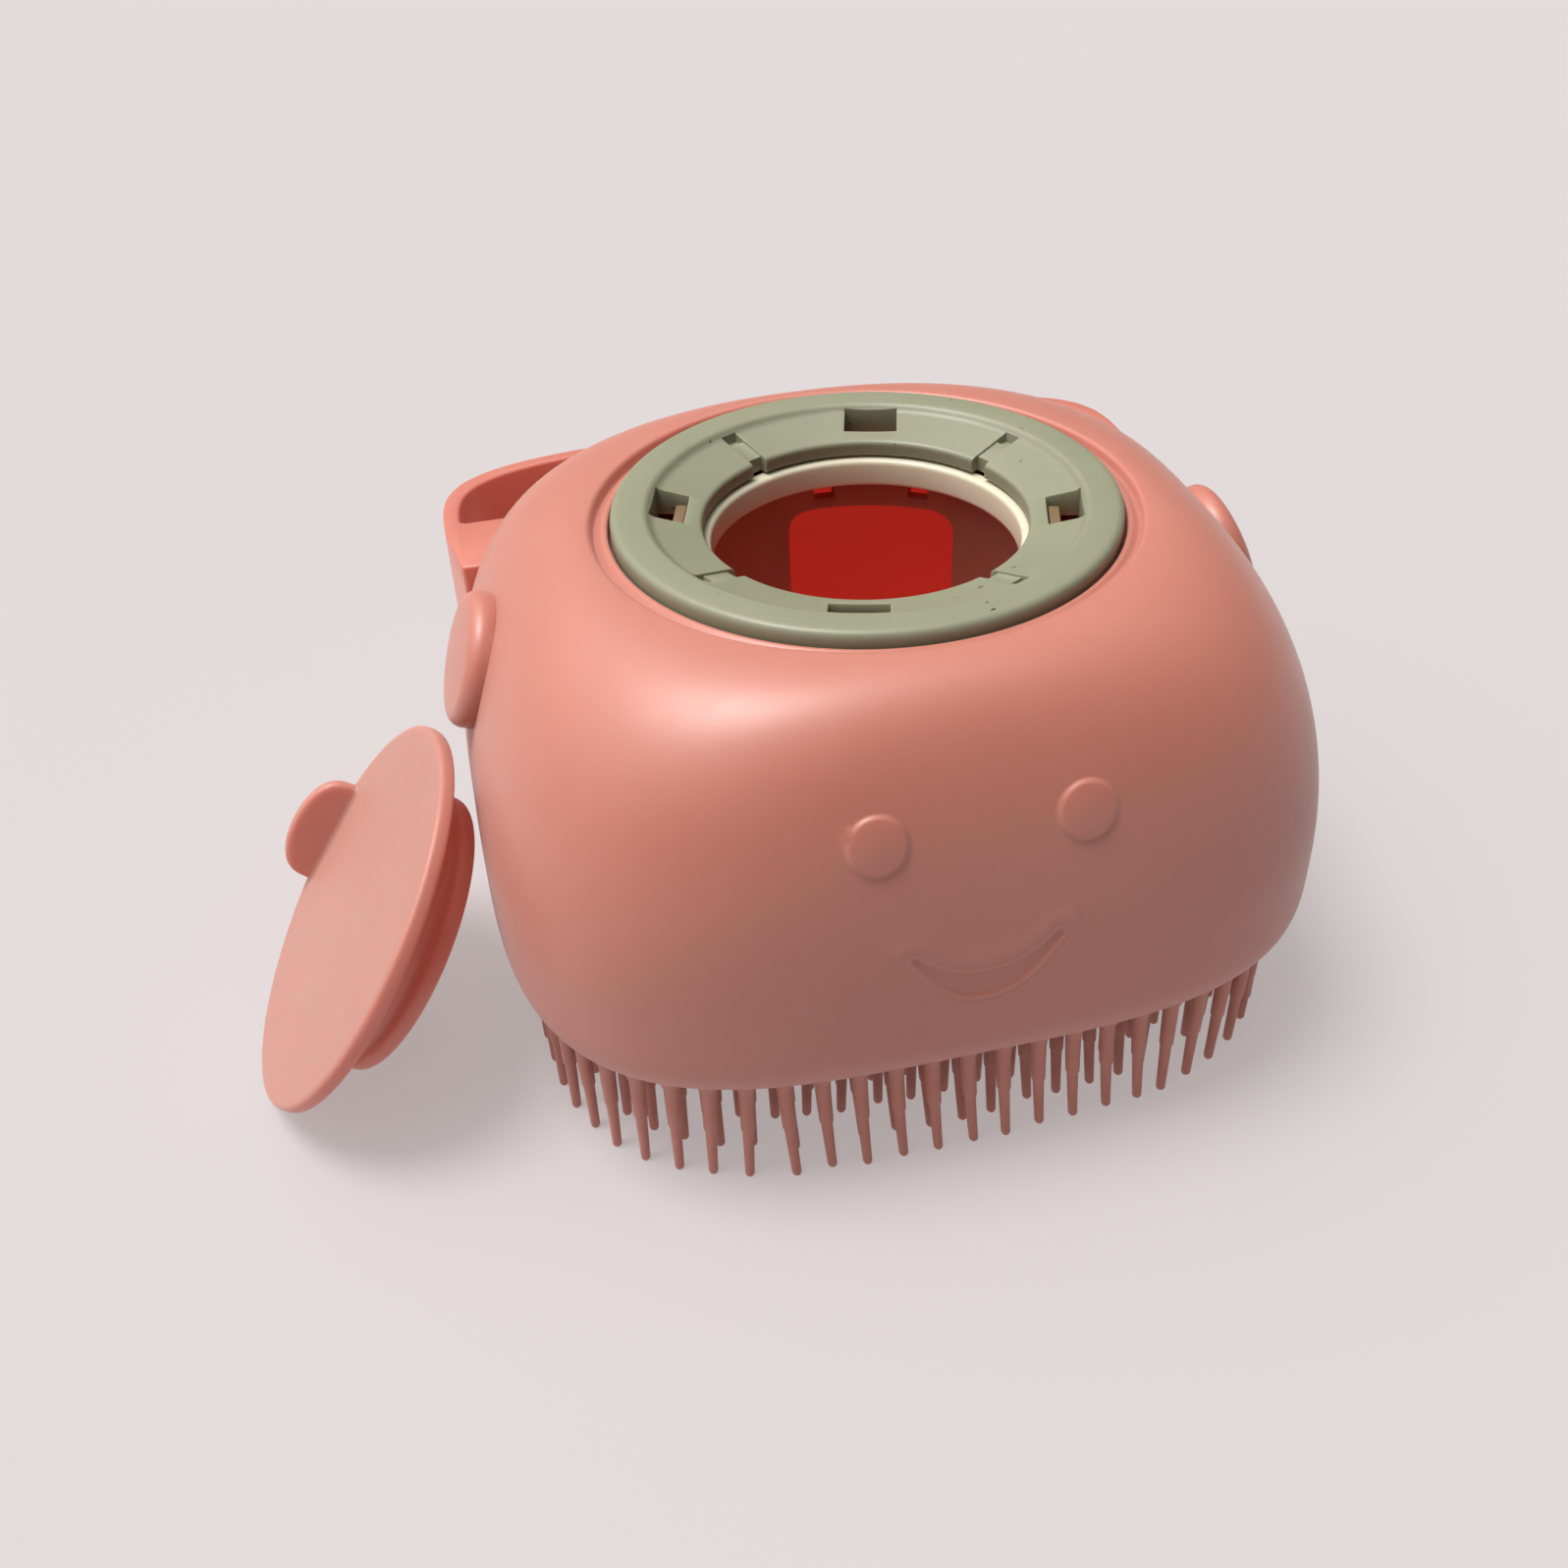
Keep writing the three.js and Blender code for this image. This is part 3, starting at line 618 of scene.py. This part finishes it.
def ear(side):
    """A domed button that looks up and sideways, with its back buried in the body's side."""
    root_r = EAR_R - 0.5
    edge_r, edge_z = EAR_R - EAR_EDGE, -EAR_EDGE - EAR_CROWN
    profile = [(0.02, EAR_BACK), (root_r, EAR_BACK), (root_r, -3.2), (EAR_R, -2.5)]
    for turn in np.linspace(0, np.pi / 2, 9):
        profile.append((edge_r + EAR_EDGE * math.cos(turn), edge_z + EAR_EDGE * math.sin(turn)))
    profile += [(EAR_R * 0.5, -0.05), (0.02, 0.0)]
    points, faces = lathe(profile, 128)
    c, s = math.cos(EAR_TILT), math.sin(EAR_TILT)
    upright = np.array([[s, 0, -c], [0, 1, 0], [c, 0, s]])
    placed = points @ upright + np.array([BODY_HALF_X - EAR_INSET, EAR_Y, BODY_TOP - EAR_DROP])
    if side < 0:
        placed[:, 0] *= -1
        faces = [face[::-1] for face in faces]
    return mesh_object("ear", placed, faces)


def strap():
    """The band behind the body, with webs at its ends that run into the body's sides."""
    low, high = STRAP_LOW[2], STRAP_HIGH[2]
    half_x = STRAP_HIGH[0]
    depth = STRAP_HIGH[1] - STRAP_MIDDLE_Y
    web_y = STRAP_LOW[1] - STRAP_WEB_REACH
    web_x = half_x - 1.2
    corner = 0.6
    fine = np.linspace(0.0, np.pi, 361)
    outer = superellipse(half_x, depth, STRAP_POWER, 0, fine, STRAP_MIDDLE_Y)[:, :2]
    inner = superellipse(half_x - STRAP_THICKNESS, depth - STRAP_THICKNESS, STRAP_POWER, 0, fine,
                         STRAP_MIDDLE_Y)[:, :2]
    inner = inner[inner[:, 1] > STRAP_SLOT_Y]
    left_end = [[-web_x, web_y], [-STRAP_ROOT_X, web_y], [-STRAP_ROOT_X, STRAP_SLOT_Y],
                [inner[-1, 0] + corner, STRAP_SLOT_Y]]
    right_end = [[inner[0, 0] - corner, STRAP_SLOT_Y], [STRAP_ROOT_X, STRAP_SLOT_Y],
                 [STRAP_ROOT_X, web_y]]
    outline = np.concatenate([[[web_x, web_y]], outer, left_end, inner[::-1], right_end])
    return rounded_slab("strap", outline, low, high, STRAP_EDGE)


def rounded_slab(name, outline, low, high, radius):
    """An outline extruded from low to high, as a closed mesh with rounded edges."""
    mesh = bmesh.new()
    ring = [mesh.verts.new((x * MM, y * MM, low * MM)) for x, y in outline]
    face = mesh.faces.new(ring)
    raised = bmesh.ops.extrude_face_region(mesh, geom=[face])
    lifted = [v for v in raised["geom"] if isinstance(v, bmesh.types.BMVert)]
    bmesh.ops.translate(mesh, verts=lifted, vec=(0, 0, (high - low) * MM))
    bmesh.ops.recalc_face_normals(mesh, faces=mesh.faces)
    data = bpy.data.meshes.new(name)
    mesh.to_mesh(data)
    mesh.free()
    obj = bpy.data.objects.new(name, data)
    bpy.context.collection.objects.link(obj)
    bevel(obj, radius, angle=60, segments=3)
    return obj


def row_places(inset, pitch):
    """Places spaced evenly along one row of the bristle field."""
    half_x, half_y = FIELD_HALF_X - inset, FIELD_HALF_Y - inset
    fine = superellipse(half_x, half_y, FIELD_POWER, 0, np.linspace(0, 2 * np.pi, 2001))
    length = np.linalg.norm(np.diff(fine, axis=0), axis=1).sum()
    angles = even_angles(half_x, half_y, FIELD_POWER, 4 * round(length / (4 * pitch)))
    return superellipse(half_x, half_y, FIELD_POWER, 0, angles)[:, :2]


def outlet_pins():
    """Pins that cut the soap outlets."""
    row = row_places(DENSE_ROWS * ROW_STEP, EDGE_PITCH)
    low, high = UNDERSIDE - 1, PAD_TOP + 1
    pins = []
    for k in range(OUTLET_COUNT):
        x, y = row[len(row) * k // OUTLET_COUNT]
        points, faces = lathe([(0.02, low), (OUTLET_R, low), (OUTLET_R, high), (0.02, high)], 24)
        pins.append(mesh_object("pin", points + np.array([x, y, 0]), faces))
    return join(pins, "pins")


def distance_to_path(x, z, path):
    """Distance from each (x, z) to a closed path of points."""
    best = np.full(len(x), 1e9)
    for start, end in zip(path, np.roll(path, -1, axis=0)):
        run = end - start
        t = ((x - start[0]) * run[0] + (z - start[1]) * run[1]) / (run @ run)
        t = np.clip(t, 0, 1)
        best = np.minimum(best, np.hypot(x - start[0] - t * run[0], z - start[1] - t * run[1]))
    return best


def smile():
    """The mouth's outline: two arcs that meet in round corners."""
    across = np.linspace(-1, 1, 41)
    sag = 1 - np.abs(across) ** SAG_POWER
    corner = MOUTH_Z + MOUTH_TILT * across
    lower, upper = (np.stack([MOUTH_X + lip["half"] * across,
                              corner + lip["rise"] - lip["sag"] * sag], 1)
                    for lip in (LOWER_LIP, UPPER_LIP))
    right, left = (np.array(points) + [0, MOUTH_Z] for points in (RIGHT_CORNER, LEFT_CORNER))
    return np.concatenate([lower, right, upper[::-1], left])


def inside_path(x, z, path):
    """Whether each (x, z) lies inside a closed path of points."""
    inside = np.zeros(len(x), bool)
    for start, end in zip(path, np.roll(path, -1, axis=0)):
        crosses = (start[1] > z) != (end[1] > z)
        at = start[0] + (z - start[1]) * (end[0] - start[0]) / (end[1] - start[1] + 1e-12)
        inside ^= crosses & (x < at)
    return inside


def soft_step(value, width):
    """Rises smoothly from 0 to 1 over a width centred on 0."""
    t = np.clip(value / width + 0.5, 0, 1)
    return t * t * (3 - 2 * t)


def raise_face(obj):
    """Domed eyes, and a slightly sunk mouth with a thin rim and a soft swelling above it."""
    points, normals = points_of(obj)
    front = ((points[:, 1] < FACE_FRONT_Y) & (normals[:, 1] < -0.3)
             & (np.abs(points[:, 0]) < FACE_HALF_X))
    x, y, z = points[front].T
    lift = np.zeros(len(x))
    for eye_x in (-EYE_X, EYE_X):
        eye_y = front_wall(np.array([eye_x]), np.array([EYE_Z]))[0]
        away = np.sqrt((x - eye_x) ** 2 + (y - eye_y) ** 2 + (z - EYE_Z) ** 2)
        dome = np.clip(1 - (away / EYE_R) ** 2, 0, 1)
        lift += EYE_LIFT * soft_step(EYE_R - away, 0.5) + EYE_DOME * dome
    path = smile()
    edge = distance_to_path(x, z, path)
    within = inside_path(x, z, path)
    signed = np.where(within, edge, -edge)
    middle_line = MOUTH_Z - 3.2 + 3.6 * (x / MOUTH_HALF) ** 2
    above = soft_step(z - middle_line, 1.0) * (np.abs(x) < MOUTH_HALF + 1.1)
    lift -= MOUTH_SINK * soft_step(signed + 0.35, 0.8)
    lift += MOUTH_RIM * np.exp(-(signed / 0.3) ** 2)
    lift += MOUTH_BROW * above * np.exp(-((signed + 1.1) / 0.8) ** 2)
    points[front] += normals[front] * lift[:, None]
    set_points(obj, points)


def subdivide_near(obj, centre, radius, cuts):
    """Splits the faces near a place, so that fine relief has enough points."""
    mesh = bmesh.new()
    mesh.from_mesh(obj.data)
    place = Vector(centre) * MM
    near = [e for e in mesh.edges if (e.verts[0].co - place).length < radius * MM]
    bmesh.ops.subdivide_edges(mesh, edges=near, cuts=cuts, use_grid_fill=True)
    mesh.to_mesh(obj.data)
    mesh.free()


def brush_body(material, inner_painted_glow_material, strap_painted_glow_material):
    """The body's one moulding, with its face, outlets, ears and strap."""
    body = body_dome()
    paint(body, material, inner_painted_glow_material)
    subdivide_near(body, (0, front_wall(0.0, FACE_Z), FACE_Z), FACE_REACH, 3)
    raise_face(body)
    boolean(body, outlet_pins())
    for other, skin in ((ear(-1), material), (ear(1), material), (strap(), strap_painted_glow_material)):
        paint(other, skin)
        boolean(body, other, "UNION")
    smooth_by_angle(body, 38)
    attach(body, "body")
    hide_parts("body_shell", "left_ear", "right_ear", "hanging_strap")


# ------------------------------------------------------------------ bristles

def bristle_places():
    """All rows at the edge, and every other one inside them, down to one central bristle."""
    rows = [row_places(row * ROW_STEP, EDGE_PITCH) for row in range(DENSE_ROWS)]
    for row in range(DENSE_ROWS + 1, int(np.ceil(FIELD_HALF_Y / ROW_STEP - 1)), 2):
        rows.append(row_places(row * ROW_STEP, INNER_PITCH))
    return np.concatenate([[[0.0, 0.0]], *rows])


def bristle_lean(x, y):
    """How far a tip stands off its root: at random, and along the front also swept to +X and,
    left of X = 5, forwards."""
    swept = TIP_SWEEP if y < -FRONT_SHARE * FIELD_HALF_Y and abs(x) < SWEPT_HALF_X else 0.0
    return rng.normal(0, TIP_SCATTER, 2) + np.array([swept, -0.9 * swept * (x < 5)])


def bristles(material):
    """All bristles as one piece, each a round shaft that leans a little."""
    sides = BRISTLE_SIDES
    angles = np.linspace(0, 2 * np.pi, sides, endpoint=False)
    ring = np.stack([np.cos(angles), np.sin(angles)], 1)
    points, faces = [], []
    for x, y in bristle_places():
        lean = bristle_lean(x, y)
        first = len(points) * sides
        for height, radius in BRISTLE_PROFILE:
            centre = np.array([x, y]) + lean * max(1 - height / UNDERSIDE, 0) ** 1.3
            points.append(np.hstack([centre + radius * ring, np.full((sides, 1), height)]))
        for row in range(len(BRISTLE_PROFILE) - 1):
            here = first + row * sides
            for k in range(sides):
                after = (k + 1) % sides
                faces.append((here + k, here + after, here + sides + after, here + sides + k))
        last = first + (len(BRISTLE_PROFILE) - 1) * sides
        faces.append(tuple(first + k for k in range(sides))[::-1])
        faces.append(tuple(last + k for k in range(sides)))
    obj = mesh_object("bristles", np.concatenate(points), faces)
    paint(obj, material)
    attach(obj, "body")
    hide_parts("bristle_pad")


# ------------------------------------------------------------------ ring, clamp and cage

def quarter_turns(offset):
    """Four angles a quarter apart, from an offset in degrees."""
    return [RING_TURN + math.radians(offset + 90 * k) for k in range(4)]


def retaining_ring(material):
    """The filling ring, with four slots and four channels that end in a pocket and a notch."""
    bottom = RING_TOP - RIM_THICKNESS
    points, faces = lathe(rounded([
        (HOLE_R, RING_FLOOR_BOTTOM, 0.15), (RECESS_R + 0.2, RING_FLOOR_BOTTOM, 0.1),
        (RECESS_R + 0.2, bottom, 0.1), (RING_R, bottom, 0.4), (RING_R, RING_TOP, 0.9),
        (RECESS_R + 0.5, RING_TOP, 0.4), (RECESS_R - 0.1, RECESS_Z, 0.4), (HOLE_R, HOLE_Z, 0.45),
    ], 0.2, 6), 256)
    ring = mesh_object("filling_ring", points, faces)
    for angle in quarter_turns(0):
        boolean(ring, turned_box((SLOT_WIDTH, SLOT_LENGTH, THROUGH), (SLOT_R, 0, HOLE_Z), angle))
    width = RECESS_R - HOLE_R
    rise = math.atan2(FLOOR_FALL, width)
    channel_size = (width + 1, CHANNEL_WIDTH, CHANNEL_DEPTH)
    channel_centre = ((HOLE_R + RECESS_R) / 2 - 0.6, 0, (HOLE_Z + RECESS_Z) / 2)
    pocket_size = (POCKET_LENGTH, CHANNEL_WIDTH, CHANNEL_WIDTH)
    notch_size = (CHANNEL_WIDTH, CHANNEL_WIDTH, THROUGH)
    for angle in quarter_turns(45):
        boolean(ring, turned_box(channel_size, channel_centre, angle, rise))
        boolean(ring, turned_box(pocket_size, (RECESS_R - POCKET_LENGTH / 2, 0, RECESS_Z), angle))
        boolean(ring, turned_box(notch_size, (HOLE_R, 0, HOLE_Z), angle))
    bevel(ring, 0.14, angle=30)
    paint(ring, material)
    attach(ring, "ring")
    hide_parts("retaining_ring")


def clamp_ring(material, painted_shade_hook_material, painted_light_flange_material):
    """Neck, flange and four hooks. The hooks are a darker copy of the plastic, a painted shade, and the
    flange is orange-red, painted light that stands in for lit silicone below the slots.
    """
    neck_outer = NECK_R + NECK_WALL
    flange_r = CLAMP_HIGH[0]
    low = CLAMP_LOW[2]
    flange_top = SEAT_BOTTOM - CLEARANCE
    neck_top = RING_FLOOR_BOTTOM - CLEARANCE
    points, faces = lathe(rounded([
        (NECK_R - 0.1, low, 0.4), (flange_r, low, 0.3), (flange_r, flange_top, 0.3),
        (neck_outer, flange_top, 0.3), (neck_outer, neck_top, 0.3), (NECK_R, neck_top, 0.5),
    ], 0.2), 192)
    ring = mesh_object("neck_clamp", points, faces)
    # Neck faces take the first material and flange faces the third, whose orange-red is painted light
    for face in ring.data.polygons:
        outwards = np.hypot(face.center.x, face.center.y) / MM
        face.material_index = 2 * int(outwards > neck_outer + 0.3)
    paint(ring, material, painted_shade_hook_material, painted_light_flange_material)
    hook_r = SLOT_R - SLOT_WIDTH / 2 + 0.8
    hook_top = CLAMP_HIGH[2]
    size = (HOOK_THICKNESS, SLOT_LENGTH - HOOK_SIDE_GAP, hook_top - low - HOOK_FOOT)
    for angle in quarter_turns(0):
        hook = turned_box(size, (hook_r, 0, (hook_top + low + HOOK_FOOT) / 2), angle)
        paint(hook, painted_shade_hook_material)
        boolean(ring, hook, "UNION")
    bevel(ring, 0.12, angle=30)
    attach(ring, "insert")
    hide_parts("clamp_ring")


def window_cutter(centre, angle):
    """An upright opening with rounded corners, cut straight out through the cage's wall."""
    side, top = WINDOW_WIDTH / 2, WINDOW_HEIGHT / 2
    outline = rounded([(-side, -top), (side, -top), (side, top), (-side, top)], WINDOW_CORNER, 5)
    near, far = (np.array([[x, y, centre + z] for y, z in outline]) for x in (2, CAGE_HIGH[0] + 2))
    points, faces = loft([near, far])
    return mesh_object("cutter", turned(points, angle), faces, smooth=False)


def inner_cage(material):
    """A tube with four windows and a pair of small square ports above each."""
    outer = CAGE_HIGH[0]
    inner = outer - CAGE_WALL
    low, high = CAGE_LOW[2], CAGE_HIGH[2]
    points, faces = lathe(rounded([
        (inner, low), (outer, low), (outer, high), (inner, high),
    ], 0.25), 192)
    cage = mesh_object("reservoir_cage", points, faces)
    for angle in quarter_turns(0):
        boolean(cage, window_cutter(high - WINDOW_DROP - WINDOW_HEIGHT / 2, angle))
        for side in (-PORT_Y, PORT_Y):
            port = turned_box((4, PORT_SIZE, PORT_SIZE), (outer - CAGE_WALL / 2, 0, high - PORT_DROP),
                              angle + math.atan2(side, outer))
            boolean(cage, port)
    bevel(cage, 0.15, angle=30)
    paint(cage, material)
    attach(cage, "insert")
    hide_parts("inner_cage")


# ------------------------------------------------------------------ lid

def node_points(name):
    """Vertices of a CAD node, in millimetres."""
    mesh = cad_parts[name].data
    points = np.empty(3 * len(mesh.vertices))
    mesh.vertices.foreach_get("co", points)
    return points.reshape(-1, 3) / MM


def lid_frame():
    """Origin and axes of the lid: the middle of its top face, then level, uphill and outward."""
    disc = np.unique(np.round(node_points("lid_cap"), 4), axis=0)
    centre = (disc.max(0) + disc.min(0)) / 2
    _, _, axes = np.linalg.svd(disc - centre)
    outward = axes[2] * np.sign(axes[2][2])
    level = np.cross([0, 0, 1.0], outward)
    level /= np.linalg.norm(level)
    uphill = np.cross(outward, level)
    top = ((disc - centre) @ outward).max()
    return centre + outward * top, np.stack([level, uphill, outward])


def melt(obj):
    """Remeshes joined parts into one skin, then smooths it."""
    step = obj.modifiers.new("skin", "REMESH")
    step.mode = "VOXEL"
    step.voxel_size = SKIN_VOXEL * MM
    apply_modifiers(obj)
    step = obj.modifiers.new("relax", "SMOOTH")
    step.iterations = 6
    step.factor = 0.5
    apply_modifiers(obj)


def lid(material):
    """Disc, tab, plug and a nub under the disc, melted into one skin and laid on the CAD lid."""
    origin, axes = lid_frame()
    low = -LID_THICKNESS
    end = low - PLUG_HEIGHT
    neck = PLUG_R - 0.6
    profile = [
        (0.02, -0.12, 0), (LID_R - 6, -0.05, 2), (LID_R, 0.0, 0.55), (LID_R, low, 0.5),
        (neck + 0.5, low, 0.2), (neck - 0.25, low - 0.9, 0.8), (neck + 0.05, end + 3.6, 0.9),
        (neck - 0.45, end + 2.5, 0.6), (PLUG_R, end + 1.9, 0.8), (PLUG_R - 0.1, end + 0.5, 0.7),
        (neck - 0.5, end, 0.6), (neck - 2.4, end, 0.5), (neck - 2.5, end + 3.4, 0.8),
        (0.02, end + 3.4, 0),
    ]
    points, faces = lathe(rounded(profile, 0.2, 6)[::-1], 224)
    cap = mesh_object("lid_disc", points, faces)
    tab = pull_tab()
    points, faces = lathe([(0.02, 0.0), (1.6, 0.0), (1.5, 0.7), (1.0, 1.25), (0.02, 1.45)], 32)
    x, y, z = points.T
    nub = mesh_object("nub", np.stack([x, -z - neck + 0.3, y + low - 2.2], 1), faces)
    whole = join([cap, tab, nub], "lid")
    melt(whole)
    points, _ = points_of(whole)
    set_points(whole, points @ axes + origin)
    whole.data.shade_smooth()
    paint(whole, material)
    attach(whole, "lid")
    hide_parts("lid_cap", "pull_tab", "lid_plug")


def pull_tab():
    """A half-moon flap that stands on the disc near its edge."""
    turns = np.linspace(0, np.pi, 33)
    half_length, half = TAB_LENGTH / 2, TAB_THICKNESS / 2
    across = half_length * np.cos(turns)
    up = TAB_HEIGHT * np.sin(turns) ** 0.62
    outline = [*zip(across, up), (-half_length, -1.0), (half_length, -1.0)]
    near, far = (np.array([[side, y, z] for y, z in outline]) for side in (-half, half))
    points, faces = loft([near, far])
    points[:, 0] += TAB_R + TAB_LEAN * points[:, 2]
    tab = mesh_object("tab", turned(points, TAB_ANGLE), faces)
    bevel(tab, 0.45, angle=50, segments=3)
    return tab


# ------------------------------------------------------------------ stage, light and camera

def floor():
    """A wide pale floor, bright enough by itself to serve as the backdrop."""
    half = FLOOR_HALF
    corners = [(-half, -half, 0), (half, -half, 0), (half, half, 0), (-half, half, 0)]
    mesh = bpy.data.meshes.new("floor")
    mesh.from_pydata(corners, [], [(0, 1, 2, 3)])
    obj = bpy.data.objects.new("floor", mesh)
    bpy.context.collection.objects.link(obj)
    material, shader = new_material("pale_floor")
    tree = material.node_tree
    colour = ramp(tree, noise(tree, 3, 2), [(0.3, (0.215, 0.206, 0.209)), (0.7, (0.22, 0.211, 0.214))])
    tree.links.new(colour, shader.inputs["Base Color"])
    shader.inputs["Roughness"].default_value = 1.0
    shader.inputs["Specular IOR Level"].default_value = 0.0
    shader.inputs["Emission Color"].default_value = (*FLOOR_LIGHT, 1)
    shader.inputs["Emission Strength"].default_value = 1.0
    paint(obj, material)


def lights():
    """A broad soft sky, bright overhead and to the left and dark near the horizon, and a sun."""
    world = bpy.data.worlds.new("studio")
    world.use_nodes = True
    tree = world.node_tree
    place = tree.nodes.new("ShaderNodeTexCoord")
    towards = tree.nodes.new("ShaderNodeVectorMath")
    towards.operation = "DOT_PRODUCT"
    towards.inputs[1].default_value = Vector(SKY_TOWARDS).normalized()
    tree.links.new(place.outputs["Generated"], towards.inputs[0])
    colour = ramp(tree, towards.outputs["Value"], [
        (0.0, (0.02, 0.018, 0.018)), (0.35, (0.04, 0.037, 0.037)), (0.6, (0.24, 0.235, 0.23)),
        (0.8, (0.66, 0.65, 0.64)), (1.0, (1.0, 0.98, 0.97)),
    ])
    background = tree.nodes["Background"]
    tree.links.new(colour, background.inputs["Color"])
    background.inputs["Strength"].default_value = SKY_STRENGTH
    bpy.context.scene.world = world
    sun = bpy.data.lights.new("key", "SUN")
    sun.energy = KEY_STRENGTH
    sun.angle = math.radians(KEY_ANGLE)
    sun.color = KEY_COLOUR
    key = bpy.data.objects.new("key", sun)
    key.rotation_euler = Vector(KEY_TOWARDS).to_track_quat("Z", "Y").to_euler()
    bpy.context.collection.objects.link(key)


def camera():
    """The camera, aimed by its azimuth, elevation and roll."""
    azimuth = math.radians(CAMERA_AZIMUTH)
    elevation = math.radians(CAMERA_ELEVATION)
    back = Vector((math.sin(azimuth) * math.cos(elevation), -math.cos(azimuth) * math.cos(elevation),
                   math.sin(elevation)))
    right = Vector((0, 0, 1)).cross(back).normalized()
    up = back.cross(right)
    roll = math.radians(CAMERA_ROLL)
    tilted_right = right * math.cos(roll) + up * math.sin(roll)
    tilted_up = up * math.cos(roll) - right * math.sin(roll)
    data = bpy.data.cameras.new("camera")
    data.lens = CAMERA_LENS
    data.sensor_width = 36
    data.clip_start = 0.01
    obj = bpy.data.objects.new("camera", data)
    turn = Matrix((tilted_right, tilted_up, back)).transposed()
    obj.matrix_world = Matrix.Translation(CAMERA_PLACE) @ turn.to_4x4()
    bpy.context.collection.objects.link(obj)
    bpy.context.scene.camera = obj


# ------------------------------------------------------------------ the scene

camera()
floor()
lights()

body_silicone = silicone("body_silicone", (0.50, 0.182, 0.134), (0.485, 0.173, 0.127), 0.42, 0.4)
# The strap's silicone carries a painted red glow that stands in for light coming through its thin shaded
# sides
strap_silicone_painted_glow = silicone("strap_silicone_painted_glow", (0.43, 0.16, 0.115), (0.415, 0.15, 0.108), 0.42, 0.4)
add_painted_glow(strap_silicone_painted_glow, (0.75, 0.07, 0.04), 0.20)
# Inner faces of the body: a deep red that stands in for light bouncing inside, plus a painted glow for light
# coming through the thin silicone
inner_skin_painted_glow = silicone("inner_skin_painted_glow", (0.62, 0.10, 0.07), (0.56, 0.08, 0.055), 0.5)
add_painted_glow(inner_skin_painted_glow, (0.75, 0.05, 0.03), 0.25)
bristle_silicone = silicone("bristle_silicone", (0.52, 0.19, 0.14), (0.50, 0.175, 0.125), 0.5, 0.3, 1.2)
# The lid's silicone carries a painted red glow that stands in for light coming through its thin shaded sides
lid_silicone = silicone("lid_silicone", (0.345, 0.187, 0.15), (0.33, 0.178, 0.142), 0.5, 0.8, 3.5)
add_painted_glow(lid_silicone, (0.75, 0.07, 0.04), 0.20)
ring_plastic = moulded_plastic("ring_plastic", (0.25, 0.255, 0.172), (0.238, 0.243, 0.163), 0.42, 0.35)
clear_plastic = moulded_plastic("clear_plastic", (0.66, 0.61, 0.47), (0.62, 0.57, 0.43), 0.35, 0.4, False)
# Painted shade: a darker copy of the clamp's plastic for the hooks, which sit in shadow inside the slots
hook_painted_shade_plastic = moulded_plastic("hook_painted_shade_plastic", (0.22, 0.14, 0.075), (0.19, 0.12, 0.065), 0.42, 0.2, False)
# Painted light: an orange-red for the clamp's flange, standing in for lit silicone seen below the slots
flange_painted_light_plastic = moulded_plastic("flange_painted_light_plastic", (0.72, 0.20, 0.10), (0.66, 0.17, 0.085), 0.35, 0.4, False)
cage_plastic = moulded_plastic("cage_plastic", (0.42, 0.20, 0.14), (0.38, 0.18, 0.125), 0.45, 0.2, False)

brush_body(body_silicone, inner_skin_painted_glow, strap_silicone_painted_glow)
bristles(bristle_silicone)
retaining_ring(ring_plastic)
clamp_ring(clear_plastic, hook_painted_shade_plastic, flange_painted_light_plastic)
inner_cage(cage_plastic)
lid(lid_silicone)

bpy.context.scene.view_settings.view_transform = "Standard"
